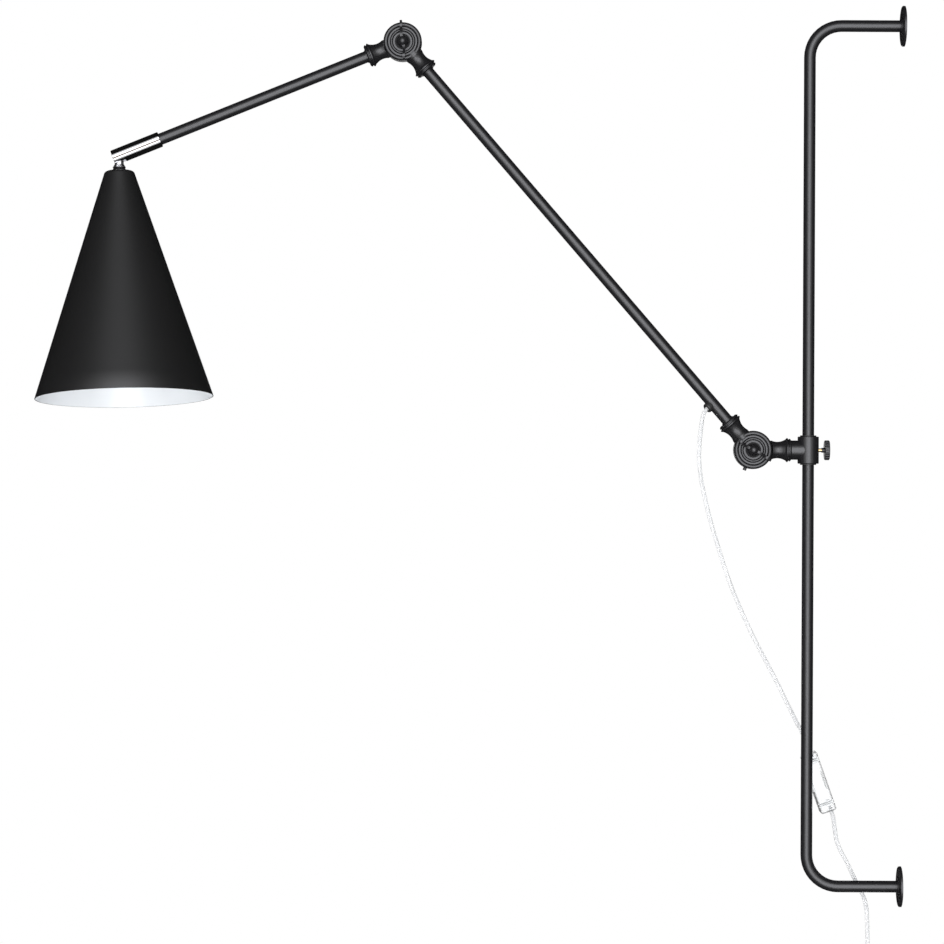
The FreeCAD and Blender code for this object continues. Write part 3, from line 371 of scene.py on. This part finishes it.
def upperPoints(s):
    turn = math.radians(s["bushingTurn"])
    way = inPicture(lampSizes["lowerAngle"] + 90) * math.cos(turn) + Vector((0, -1, 0)) * math.sin(turn)
    surface = basePivot + lowerWay * s["bushingPlace"] + way * s["tubeRadius"]
    top, down, across = switchPlaces(s)
    points = [surface, surface + way * (s["bushingHeight"] + s["bushingLead"])]
    points += [Vector(p) for p in s["upper"]]
    points.append(top + across * s["cordOffset"] - down * s["leadIn"])
    points.append(top + across * s["cordOffset"] + down * s["cordDepth"])
    return points


coilSettings = {
    "mean": 23.5,
    "pitch": 5.15,
    "layers": 4,
    "turns": 7,
    "entry": 60.0,
    "entryPieces": 3,
    "exit": -50.0,
    "endRun": 5.0,
    "lookBack": 0.001,
    "pointsPerTurn": 16,
}


def coilPoint(s, angle):
    whole = 2 * math.pi * s["turns"] + math.radians(s["entry"] - s["exit"])
    layer = whole / s["layers"]
    rate = s["pitch"] / (2 * math.pi)
    bend = math.pi / 2
    depth = 0.0
    for number in range(1, s["layers"]):
        share = min(max((angle - number * layer + bend) / (2 * bend), 0.0), 1.0)
        depth += s["pitch"] * share * share * (3 - 2 * share)
    phase = angle % (2 * layer)
    fromInside = abs(phase - layer)
    if fromInside < bend and angle > layer * 0.5:
        fromInside = fromInside ** 2 / (2 * bend) + bend / 2
    fromOutside = min(phase, 2 * layer - phase)
    if fromOutside < bend and layer * 0.5 < angle < whole - layer * 0.5:
        fromInside = layer - (fromOutside ** 2 / (2 * bend) + bend / 2)
    return s["mean"] - rate * layer / 2 + rate * fromInside, depth, whole


def coilMiddle(s, hang):
    entry = math.radians(s["entry"])
    radius = coilPoint(s, 0.0)[0]
    x = hang.x + radius * (1 - math.cos(entry)) - radius * math.cos(entry)
    return Vector((x, hang.y, hang.z - s["endRun"] - 2 * radius * math.sin(entry)))


def coilPlace(s, middle, angle):
    radius, depth, _ = coilPoint(s, angle)
    bearing = math.radians(s["entry"]) - angle
    return middle + Vector((radius * math.cos(bearing), depth, radius * math.sin(bearing)))


def coilRoute(s, hang):
    middle = coilMiddle(s, hang)
    whole = coilPoint(s, 0.0)[2]
    count = math.ceil(whole / (2 * math.pi) * s["pointsPerTurn"])
    step = whole / count
    bulge = 1 / math.cos(step / 2)
    points = []
    for number in range(count):
        place = coilPlace(s, middle, (number + 0.5) * step)
        flat = place - middle
        points.append(middle + Vector((flat.x * bulge, flat.y, flat.z * bulge)))
    end = coilPlace(s, middle, whole)
    before = coilPlace(s, middle, whole - s["lookBack"])
    return points, end, (end - before).normalized()


def coilEntry(s, hang):
    # the cord turns off its straight hang on one arc that meets the winding
    radius = coilPoint(s, 0.0)[0]
    middle = Vector((hang.x + radius, hang.y, hang.z - s["endRun"]))
    step = math.radians(s["entry"]) / s["entryPieces"]
    reach = radius / math.cos(step / 2)
    points = []
    for number in range(s["entryPieces"]):
        bearing = math.pi + (number + 0.5) * step
        points.append(middle + Vector((reach * math.cos(bearing), 0, reach * math.sin(bearing))))
    return points


tailSettings = {"run": 12.5, "bendExtra": 1.0, "inPlug": 4.0}


def lowerPoints(s, coil, tail):
    top, down, across = switchPlaces(s)
    points = [
        top + across * s["cordOffset"] + down * (s["switchLength"] - s["cordDepth"]),
        top + across * s["cordOffset"] + down * (s["switchLength"] + s["leadOut"]),
    ]
    points += [Vector(p) for p in s["lower"]]
    hang = Vector(s["hangEnd"])
    winding, end, way = coilRoute(coil, hang)
    points += [hang] + coilEntry(coil, hang) + winding
    leave = end + way * coil["endRun"]
    fall = Vector((0, 0, -1))
    first = leave + way * tail["run"]
    second = first + (way + fall).normalized() * (tail["run"] + tail["bendExtra"])
    last = second + fall * tail["run"]
    points += [leave, first, second, last + fall * tail["inPlug"]]
    return points, last


def lineOf(curve):
    # the smooth line of a cord, as points in metres
    bevel = curve.data.bevel_depth
    curve.data.bevel_depth = 0.0
    curve.data.use_fill_caps = False
    bpy.context.view_layer.update()
    mesh = bpy.data.meshes.new_from_object(curve.evaluated_get(bpy.context.evaluated_depsgraph_get()))
    points = [v.co.copy() for v in mesh.vertices]
    bpy.data.meshes.remove(mesh)
    curve.data.bevel_depth = bevel
    curve.data.use_fill_caps = True
    bpy.context.view_layer.update()
    return points


def plainMesh(obj, name=None):
    # the evaluated object as a plain mesh, and the live one removed
    bpy.context.view_layer.update()
    mesh = bpy.data.meshes.new_from_object(obj.evaluated_get(bpy.context.evaluated_depsgraph_get()))
    name = name or obj.name
    bpy.data.objects.remove(obj)
    mesh.name = name
    return shown(bpy.data.objects.new(name, mesh))


wireSettings = {
    "radius": 0.88,
    "offset": 0.90,
    "lay": 140.0,
    "sides": 10,
}


def twinWires(name, line, s, material):
    # two twisted conductors that follow a cord's line
    verts = []
    faces = []
    sides = s["sides"]
    aside = Vector((0, 1, 0))
    walked = 0.0
    frames = []
    for number, point in enumerate(line):
        before = line[max(number - 1, 0)]
        after = line[min(number + 1, len(line) - 1)]
        way = (after - before).normalized()
        aside = (aside - way * aside.dot(way)).normalized()
        if number:
            walked += (point - line[number - 1]).length
        frames.append((point, way, aside.copy(), walked))
    for wire in range(2):
        start = len(verts)
        for point, way, side, far in frames:
            across = way.cross(side)
            turn = 2 * math.pi * far / (s["lay"] * mm) + wire * math.pi
            out = side * math.cos(turn) + across * math.sin(turn)
            middle = point + out * s["offset"] * mm
            for k in range(sides):
                bearing = 2 * math.pi * k / sides
                reach = side * math.cos(bearing) + across * math.sin(bearing)
                verts.append(middle + reach * s["radius"] * mm)
        rings = len(frames)
        for ring in range(rings - 1):
            for k in range(sides):
                a = start + ring * sides + k
                b = start + ring * sides + (k + 1) % sides
                faces.append((a, b, b + sides, a + sides))
        faces.append(tuple(start + k for k in reversed(range(sides))))
        last = start + (rings - 1) * sides
        faces.append(tuple(last + k for k in range(sides)))
    mesh = bpy.data.meshes.new(name)
    mesh.from_pydata([tuple(v) for v in verts], [], faces)
    mesh.validate()
    mesh.shade_smooth()
    mesh.materials.append(material)
    return outward(shown(bpy.data.objects.new(name, mesh)))


def outward(obj):
    mesh = obj.data
    work = bmesh.new()
    work.from_mesh(mesh)
    bmesh.ops.recalc_face_normals(work, faces=work.faces)
    work.to_mesh(mesh)
    work.free()
    return obj


def makeCords(s):
    upper = cordCurve("cordUpper", upperPoints(s), s["radius"], materials["clearPvc"])
    upperLine = lineOf(upper)
    upperTube = plainMesh(upper, "cordUpper")
    upperTube.data.shade_smooth()
    upperWires = twinWires("cordUpperWires", upperLine, wireSettings, materials["paleWire"])
    route, plugTop = lowerPoints(s, coilSettings, tailSettings)
    lower = cordCurve("cordLower", route, s["radius"], materials["clearPvc"])
    lowerLine = lineOf(lower)
    lowerWires = twinWires("cordLowerWires", lowerLine, wireSettings, materials["paleWire"])
    return upperTube, upperLine, upperWires, lower, lowerLine, lowerWires, plugTop


cordUpper, upperLine, upperWires, cordLower, lowerLine, lowerWires, plugTop = makeCords(cordSettings)
print("cords made")


def arcPoints(start, through, end, count):
    # points on the arc through three (radius, height) points, its start left out
    ax, ay = start
    bx, by = through
    cx, cy = end
    d = 2 * (ax * (by - cy) + bx * (cy - ay) + cx * (ay - by))
    ux = ((ax ** 2 + ay ** 2) * (by - cy) + (bx ** 2 + by ** 2) * (cy - ay) + (cx ** 2 + cy ** 2) * (ay - by)) / d
    uy = ((ax ** 2 + ay ** 2) * (cx - bx) + (bx ** 2 + by ** 2) * (ax - cx) + (cx ** 2 + cy ** 2) * (bx - ax)) / d
    radius = math.hypot(ax - ux, ay - uy)
    a0 = math.atan2(ay - uy, ax - ux)
    a1 = math.atan2(by - uy, bx - ux)
    a2 = math.atan2(cy - uy, cx - ux)
    turn = (a2 - a0) % (2 * math.pi)
    if (a1 - a0) % (2 * math.pi) > turn:
        turn -= 2 * math.pi
    return [(ux + radius * math.cos(a0 + turn * k / count), uy + radius * math.sin(a0 + turn * k / count))
            for k in range(1, count + 1)]


def turnedPiece(name, profile, place, skins, segments, sharp):
    # profile is a closed loop of (radius, height, skin), the skin being that of the band up to the next point
    work = bmesh.new()
    rings = []
    for radius, height, _ in profile:
        ring = []
        for k in range(segments):
            turn = 2 * math.pi * k / segments
            ring.append(work.verts.new((radius * math.cos(turn), radius * math.sin(turn), height)))
        rings.append(ring)
    count = len(profile)
    for number in range(count):
        ring = rings[number]
        above = rings[(number + 1) % count]
        for k in range(segments):
            n = (k + 1) % segments
            face = work.faces.new((ring[k], ring[n], above[n], above[k]))
            face.smooth = True
            face.material_index = profile[number][2]
    bmesh.ops.recalc_face_normals(work, faces=work.faces)
    limit = math.radians(sharp)
    for edge in work.edges:
        if edge.is_manifold and edge.calc_face_angle(0.0) > limit:
            edge.smooth = False
    mesh = bpy.data.meshes.new(name)
    work.to_mesh(mesh)
    work.free()
    mesh.transform(place)
    for skin in skins:
        mesh.materials.append(skin)
    return shown(bpy.data.objects.new(name, mesh))


shadeSettings = {
    "bore": 5.02,
    "ringRadius": 8.4,
    "top": 16.9,
    "crownRadius": 13.2,
    "crownDrop": 0.5,
    "shoulder": 20.9,
    "apex": 31.9,
    "length": 270.3,
    "mouthRadius": 98.4,
    "wall": 0.9,
    "bendOut": 0.65,
    "innerBend": 0.7,
    "innerCrown": 0.15,
    "bendSteps": 8,
    "rimSteps": 6,
    "rings": 12,
    "segments": 224,
    "sharp": 40.0,
}


def makeShade(s):
    slope = s["mouthRadius"] / (s["length"] + s["apex"])
    shoulderR = slope * (s["shoulder"] + s["apex"])
    edge = s["top"] + s["crownDrop"]
    bendR = (s["crownRadius"] + shoulderR) / 2 + s["bendOut"]
    bend = (edge + s["shoulder"]) / 2 - s["bendOut"]
    wall = s["wall"]
    outer = [(s["bore"], s["top"]), (s["ringRadius"], s["top"]), (s["crownRadius"], edge)]
    outer += arcPoints(outer[-1], (bendR, bend), (shoulderR, s["shoulder"]), s["bendSteps"])
    last = s["length"] - wall / 2
    for k in range(1, s["rings"] + 1):
        height = s["shoulder"] + (last - s["shoulder"]) * k / s["rings"]
        outer.append((slope * (height + s["apex"]), height))
    rimR = outer[-1][0]
    rim = arcPoints(outer[-1], (rimR - wall / 2, s["length"]), (rimR - wall, last), s["rimSteps"])
    inner = []
    for k in range(s["rings"]):
        height = last - (last - s["shoulder"]) * (k + 1) / s["rings"] + wall / 3 * (k + 1) / s["rings"]
        inner.append((slope * (height + s["apex"]) - wall, height))
    through = (bendR - wall * s["innerBend"], bend + wall * s["innerBend"])
    crown = (s["crownRadius"] - wall * s["innerCrown"], edge + wall)
    inner += arcPoints(inner[-1], through, crown, s["bendSteps"])
    inner += [(s["ringRadius"], s["top"] + wall), (s["bore"], s["top"] + wall)]
    black, white = 0, 1
    profile = [(r, h, black) for r, h in outer] + [(r, h, black) for r, h in rim[:-2]]
    profile += [(r, h, white) for r, h in rim[-2:]] + [(r, h, white) for r, h in inner]
    profile[-1] = (*profile[-1][:2], black)
    skins = [materials["shadeBlack"], materials["shadeWhite"]]
    return turnedPiece("shadeCone", profile, shadeFrame, skins, s["segments"], s["sharp"])


shadeCone = makeShade(shadeSettings)
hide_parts("shade")
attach(shadeCone, "shade")
print("shade made")


screwShellSettings = {
    "start": 56.0,
    "end": 82.0,
    "crest": 13.35,
    "depth": 0.62,
    "pitch": 3.63,
    "wall": 0.3,
    "fadeIn": 12,
    "fadeOut": 8,
    "around": 72,
    "steps": 120,
}


def makeScrewShell(s):
    # rolled brass, its thread one running wave
    work = bmesh.new()
    grids = []
    for skin in range(2):
        grid = []
        for row in range(s["steps"] + 1):
            share = row / s["steps"]
            height = s["start"] + (s["end"] - s["start"]) * share
            fade = min(1.0, share * s["fadeIn"], (1 - share) * s["fadeOut"])
            ring = []
            for k in range(s["around"]):
                turn = 2 * math.pi * k / s["around"]
                wave = 0.5 + 0.5 * math.cos(2 * math.pi * height / s["pitch"] - turn)
                radius = s["crest"] + s["depth"] * wave * fade + skin * s["wall"]
                ring.append(work.verts.new((radius * math.cos(turn), radius * math.sin(turn), height)))
            grid.append(ring)
        grids.append(grid)
    around = s["around"]
    for grid in grids:
        for low, high in zip(grid, grid[1:]):
            for k in range(around):
                work.faces.new((low[k], low[(k + 1) % around], high[(k + 1) % around], high[k]))
    for row in (0, -1):
        inner, outer = grids[0][row], grids[1][row]
        for k in range(around):
            n = (k + 1) % around
            work.faces.new((inner[k], inner[n], outer[n], outer[k]))
    for face in work.faces:
        face.smooth = True
    bmesh.ops.recalc_face_normals(work, faces=work.faces)
    mesh = bpy.data.meshes.new("screwShell")
    work.to_mesh(mesh)
    work.free()
    mesh.transform(shadeFrame)
    mesh.materials.append(materials["brass"])
    return shown(bpy.data.objects.new("screwShell", mesh))


screwShell = makeScrewShell(screwShellSettings)
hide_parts("lampholder_screw_shell")
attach(screwShell, "shade")


def nodeTree(name, inputs):
    tree = bpy.data.node_groups.new(name, "GeometryNodeTree")
    tree.interface.new_socket("Geometry", in_out="OUTPUT", socket_type="NodeSocketGeometry")
    for label, kind in inputs.items():
        tree.interface.new_socket(label, in_out="INPUT", socket_type=kind)
    return tree, tree.nodes.new("NodeGroupInput"), tree.nodes.new("NodeGroupOutput")


def runTree(name, tree, values, place):
    mesh = bpy.data.meshes.new(name)
    obj = shown(bpy.data.objects.new(name, mesh))
    modifier = obj.modifiers.new("build", "NODES")
    modifier.node_group = tree
    for item in tree.interface.items_tree:
        if item.in_out == "INPUT" and item.name in values:
            modifier[item.identifier] = values[item.name]
    piece = plainMesh(obj, name)
    piece.data.transform(place)
    return piece


def finishTree(tree, source, outputNode, material):
    realize = tree.nodes.new("GeometryNodeRealizeInstances")
    setMaterial = tree.nodes.new("GeometryNodeSetMaterial")
    setMaterial.inputs["Material"].default_value = material
    smooth = tree.nodes.new("GeometryNodeSetShadeSmooth")
    tree.links.new(source, realize.inputs["Geometry"])
    tree.links.new(realize.outputs["Geometry"], smooth.inputs["Geometry"])
    tree.links.new(smooth.outputs["Geometry"], setMaterial.inputs["Geometry"])
    tree.links.new(setMaterial.outputs["Geometry"], outputNode.inputs["Geometry"])


roundSides = {"rib": 10, "ring": 36, "section": 8}


def ribTree(name, material):
    # rounded ribs round an axis
    tree, given, result = nodeTree(name, {
        "Count": "NodeSocketInt", "Radius": "NodeSocketFloat", "Rib Radius": "NodeSocketFloat",
        "Rib Length": "NodeSocketFloat", "Height": "NodeSocketFloat",
    })
    circle = tree.nodes.new("GeometryNodeMeshCircle")
    rib = tree.nodes.new("GeometryNodeMeshCone")
    rib.inputs["Vertices"].default_value = roundSides["rib"]
    place = tree.nodes.new("GeometryNodeInstanceOnPoints")
    move = tree.nodes.new("GeometryNodeTransform")
    lift = tree.nodes.new("ShaderNodeCombineXYZ")
    links = tree.links
    links.new(given.outputs["Count"], circle.inputs["Vertices"])
    links.new(given.outputs["Radius"], circle.inputs["Radius"])
    links.new(given.outputs["Rib Radius"], rib.inputs["Radius Bottom"])
    links.new(given.outputs["Rib Radius"], rib.inputs["Radius Top"])
    links.new(given.outputs["Rib Length"], rib.inputs["Depth"])
    links.new(given.outputs["Height"], lift.inputs["Z"])
    links.new(circle.outputs["Mesh"], place.inputs["Points"])
    links.new(rib.outputs["Mesh"], place.inputs["Instance"])
    links.new(place.outputs["Instances"], move.inputs["Geometry"])
    links.new(lift.outputs["Vector"], move.inputs["Translation"])
    finishTree(tree, move.outputs["Geometry"], result, material)
    return tree


gripSettings = {"Count": 40, "Radius": 19.35, "Rib Radius": 0.55, "Rib Length": 25.0, "Height": 56.5}
gripRibs = runTree("lampholderGripRibs", ribTree("gripRibs", materials["bakelite"]), gripSettings, shadeFrame)
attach(gripRibs, "shade")


def ringTree(name, material):
    # rings along a straight taper
    tree, given, result = nodeTree(name, {
        "Count": "NodeSocketInt", "Length": "NodeSocketFloat", "Ring Radius": "NodeSocketFloat",
        "Thickness": "NodeSocketFloat", "Taper": "NodeSocketFloat",
    })
    line = tree.nodes.new("GeometryNodeMeshLine")
    line.mode = "END_POINTS"
    end = tree.nodes.new("ShaderNodeCombineXYZ")
    path = tree.nodes.new("GeometryNodeCurvePrimitiveCircle")
    path.inputs["Resolution"].default_value = roundSides["ring"]
    section = tree.nodes.new("GeometryNodeCurvePrimitiveCircle")
    section.inputs["Resolution"].default_value = roundSides["section"]
    sweep = tree.nodes.new("GeometryNodeCurveToMesh")
    place = tree.nodes.new("GeometryNodeInstanceOnPoints")
    number = tree.nodes.new("GeometryNodeInputIndex")
    grow = tree.nodes.new("ShaderNodeMath")
    grow.operation = "MULTIPLY_ADD"
    grow.inputs[2].default_value = 1.0
    size = tree.nodes.new("ShaderNodeCombineXYZ")
    size.inputs["Z"].default_value = 1.0
    links = tree.links
    links.new(given.outputs["Count"], line.inputs["Count"])
    links.new(given.outputs["Length"], end.inputs["Z"])
    links.new(end.outputs["Vector"], line.inputs["Offset"])
    links.new(given.outputs["Ring Radius"], path.inputs["Radius"])
    links.new(given.outputs["Thickness"], section.inputs["Radius"])
    links.new(path.outputs["Curve"], sweep.inputs["Curve"])
    links.new(section.outputs["Curve"], sweep.inputs["Profile Curve"])
    links.new(number.outputs["Index"], grow.inputs[0])
    links.new(given.outputs["Taper"], grow.inputs[1])
    links.new(grow.outputs["Value"], size.inputs["X"])
    links.new(grow.outputs["Value"], size.inputs["Y"])
    links.new(line.outputs["Mesh"], place.inputs["Points"])
    links.new(sweep.outputs["Mesh"], place.inputs["Instance"])
    links.new(size.outputs["Vector"], place.inputs["Scale"])
    finishTree(tree, place.outputs["Instances"], result, material)
    return tree


reliefDrop = 2.0
plugFrame = axisFrame(plugTop - Vector((0, 0, reliefDrop)), (0, 0, -1), (1, 0, 0))
reliefSettings = {"Count": 7, "Length": 16.0, "Ring Radius": 3.25, "Thickness": 0.5, "Taper": 0.05}
reliefRings = runTree("plugReliefRings", ringTree("reliefRings", materials["whitePlastic"]), reliefSettings,
                      plugFrame)
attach(reliefRings, "clamp")

switchTop, switchDown, switchAcross = switchPlaces(cordSettings)


def ridgeTree(name, material):
    # short rounded ridges in a row
    tree, given, result = nodeTree(name, {
        "Count": "NodeSocketInt", "Spacing": "NodeSocketFloat", "Ridge Radius": "NodeSocketFloat",
        "Ridge Length": "NodeSocketFloat",
    })
    line = tree.nodes.new("GeometryNodeMeshLine")
    step = tree.nodes.new("ShaderNodeCombineXYZ")
    ridge = tree.nodes.new("GeometryNodeMeshCone")
    ridge.inputs["Vertices"].default_value = roundSides["rib"]
    place = tree.nodes.new("GeometryNodeInstanceOnPoints")
    links = tree.links
    links.new(given.outputs["Count"], line.inputs["Count"])
    links.new(given.outputs["Spacing"], step.inputs["X"])
    links.new(step.outputs["Vector"], line.inputs["Offset"])
    links.new(given.outputs["Ridge Radius"], ridge.inputs["Radius Bottom"])
    links.new(given.outputs["Ridge Radius"], ridge.inputs["Radius Top"])
    links.new(given.outputs["Ridge Length"], ridge.inputs["Depth"])
    links.new(line.outputs["Mesh"], place.inputs["Points"])
    links.new(ridge.outputs["Mesh"], place.inputs["Instance"])
    finishTree(tree, place.outputs["Instances"], result, material)
    return tree


ridgePlace = {"rockerMiddle": 34.35, "halfRow": 2.6, "across": 10.35, "halfRidge": 3.5}
ridgeSettings = {"Count": 5, "Spacing": 1.3, "Ridge Radius": 0.35, "Ridge Length": 7.0}
ridgeStart = switchTop + switchDown * (ridgePlace["rockerMiddle"] - ridgePlace["halfRow"])
ridgeStart += Vector((0, ridgePlace["halfRidge"], 0)) - switchAcross * ridgePlace["across"]
ridgeFrame = axisFrame(ridgeStart, (0, -1, 0), switchDown)
rockerRidges = runTree("rockerRidges", ridgeTree("rockerRidges", materials["clearCase"]), ridgeSettings,
                       ridgeFrame)
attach(rockerRidges, "switch_rocker")
print("repeated details made")


def declareCords():
    for piece in (cordUpper, upperWires):
        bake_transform(piece)
    for piece in (cordLower, lowerWires):
        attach(piece, "clamp")
    # the clear jackets let the studio light through to the wires
    for jacket in (cordUpper, cordLower):
        jacket.visible_shadow = False
    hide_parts("cord_upper")
    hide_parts("cord_lower", "cord_coil", "cord_tail")


declareCords()
print("cords declared")


# floorSize and flagRadius in metres
stageSettings = {
    "middle": (-478.0, 0.0, 458.1),
    "floorHeight": -1450.0,
    "floorSize": 14.0,
    "floorColour": (0.80, 0.80, 0.80),
    "floorRough": 0.9,
    "floorLift": 0.345,
    "ambient": 0.86,
    "flagRadius": 9.0,
    "flagSegments": (120, 80),
    "frontWindow": 49.0,
    "backWindow": 9.0,
    "flagGrey": 0.012,
    "cardShift": (-420.0, -50.0, -155.0),
    "cardSize": (260.0, 1500.0),
    "cardTilt": 20.3,
    "cardColour": (0.50, 0.42, 0.34),
    "panelPlace": (-478.0, -6100.0, 330.0),
    "panelSize": (4900.0, 7000.0),
    "panelGlow": (4.3, 4.35, 4.55),
}


def seenDirectly(tree):
    # 1 for rays from the camera, a mirror or clear plastic, and 0 for the light that falls on things
    path = tree.nodes.new("ShaderNodeLightPath")
    first = addNode(tree, "ShaderNodeMath", operation="MAXIMUM")
    second = addNode(tree, "ShaderNodeMath", operation="MAXIMUM")
    tree.links.new(path.outputs["Is Camera Ray"], first.inputs[0])
    tree.links.new(path.outputs["Is Glossy Ray"], first.inputs[1])
    tree.links.new(first.outputs[0], second.inputs[0])
    tree.links.new(path.outputs["Is Transmission Ray"], second.inputs[1])
    return second.outputs[0]


def makeWorld(s):
    world = bpy.data.worlds.new("studio")
    scene.world = world
    world.use_nodes = True
    tree = world.node_tree
    background = tree.nodes["Background"]
    background.inputs["Color"].default_value = (1, 1, 1, 1)
    level = rangeNode(tree, seenDirectly(tree), s["ambient"], 1.0)
    tree.links.new(level, background.inputs["Strength"])


def makeFloor(s):
    half = s["floorSize"] / 2
    height = s["floorHeight"] * mm
    mesh = bpy.data.meshes.new("floor")
    corners = [(-half, -half, height), (half, -half, height), (half, half, height), (-half, half, height)]
    mesh.from_pydata(corners, [], [(0, 1, 2, 3)])
    material, tree, shader = newMaterial("paleFloor")
    shader.inputs["Base Color"].default_value = (*s["floorColour"], 1)
    shader.inputs["Roughness"].default_value = s["floorRough"]
    shader.inputs["Emission Color"].default_value = (1, 1, 1, 1)
    glow = rangeNode(tree, seenDirectly(tree), 0.0, s["floorLift"])
    tree.links.new(glow, shader.inputs["Emission Strength"])
    # clear from below, so that it hides nothing from a low camera
    side = addNode(tree, "ShaderNodeNewGeometry")
    tree.links.new(rangeNode(tree, side.outputs["Backfacing"], 1.0, 0.0), shader.inputs["Alpha"])
    mesh.materials.append(material)
    floor = shown(bpy.data.objects.new("floor", mesh))
    floor.visible_glossy = False


def reflectedOnly(name, mesh, colour):
    # a studio screen that only shiny surfaces see
    material = bpy.data.materials.new(name)
    material.use_nodes = True
    tree = material.node_tree
    tree.nodes.clear()
    glow = tree.nodes.new("ShaderNodeEmission")
    glow.inputs["Color"].default_value = (*colour, 1)
    result = tree.nodes.new("ShaderNodeOutputMaterial")
    tree.links.new(glow.outputs[0], result.inputs["Surface"])
    mesh.materials.append(material)
    screen = shown(bpy.data.objects.new(name, mesh))
    screen.visible_camera = False
    screen.visible_diffuse = False
    screen.visible_shadow = False
    screen.visible_transmission = False
    screen.visible_volume_scatter = False


def makeFlags(s):
    # dark cloth all round, open towards the camera and a little behind the lamp
    work = bmesh.new()
    around, up = s["flagSegments"]
    bmesh.ops.create_uvsphere(work, u_segments=around, v_segments=up, radius=s["flagRadius"])
    gone = []
    for face in work.faces:
        turn = math.degrees(face.calc_center_median().angle(Vector((0, -1, 0))))
        if turn < s["frontWindow"] or turn > 180 - s["backWindow"]:
            gone.append(face)
    bmesh.ops.delete(work, geom=gone, context="FACES")
    mesh = bpy.data.meshes.new("darkFlags")
    work.to_mesh(mesh)
    work.free()
    mesh.transform(Matrix.Translation(vectorMm(s["middle"])))
    grey = s["flagGrey"]
    reflectedOnly("darkFlags", mesh, (grey, grey, grey))


def uprightSheet(name, middle, size, tilt, colour):
    turn = Matrix.Rotation(-math.radians(tilt), 3, "Y")
    w, h = (side * mm / 2 for side in size)
    corners = [middle + turn @ Vector((x, 0, z)) for x, z in ((-w, -h), (w, -h), (w, h), (-w, h))]
    mesh = bpy.data.meshes.new(name)
    mesh.from_pydata(corners, [], [(0, 1, 2, 3)])
    reflectedOnly(name, mesh, colour)


def makeSheets(s):
    # a dim narrow card beside the camera, which shows as a fine line along the polished sleeve
    middle = vectorMm(cameraSettings["place"]) + vectorMm(s["cardShift"])
    uprightSheet("dimCard", middle, s["cardSize"], s["cardTilt"], s["cardColour"])
    # a bright panel behind the camera, which draws the long lights on tubes and castings
    uprightSheet("brightPanel", vectorMm(s["panelPlace"]), s["panelSize"], 0.0, s["panelGlow"])


# places and sizes in metres
lightSettings = {
    "frontBox": {"place": (-0.478, -5.4, 0.70), "size": (2.6, 3.2), "watts": 46.0},
    "leftFill": {"place": (-4.0, -3.2, 2.4), "size": (2.0, 2.0), "watts": 30.0},
    "lowFill": {"place": (-0.9, -1.6, -0.25), "size": (1.6, 1.6), "watts": 10.5},
}


def makeLights(s):
    for name, values in s.items():
        data = bpy.data.lights.new(name, "AREA")
        data.shape = "RECTANGLE"
        data.size, data.size_y = values["size"]
        data.energy = values["watts"]
        light = shown(bpy.data.objects.new(name, data))
        light.location = values["place"]
        way = vectorMm(stageSettings["middle"]) - light.location
        light.rotation_euler = way.to_track_quat("-Z", "Y").to_euler()
        light.visible_glossy = False


makeWorld(stageSettings)
makeFloor(stageSettings)
makeFlags(stageSettings)
makeSheets(stageSettings)
makeLights(lightSettings)
print("stage made")
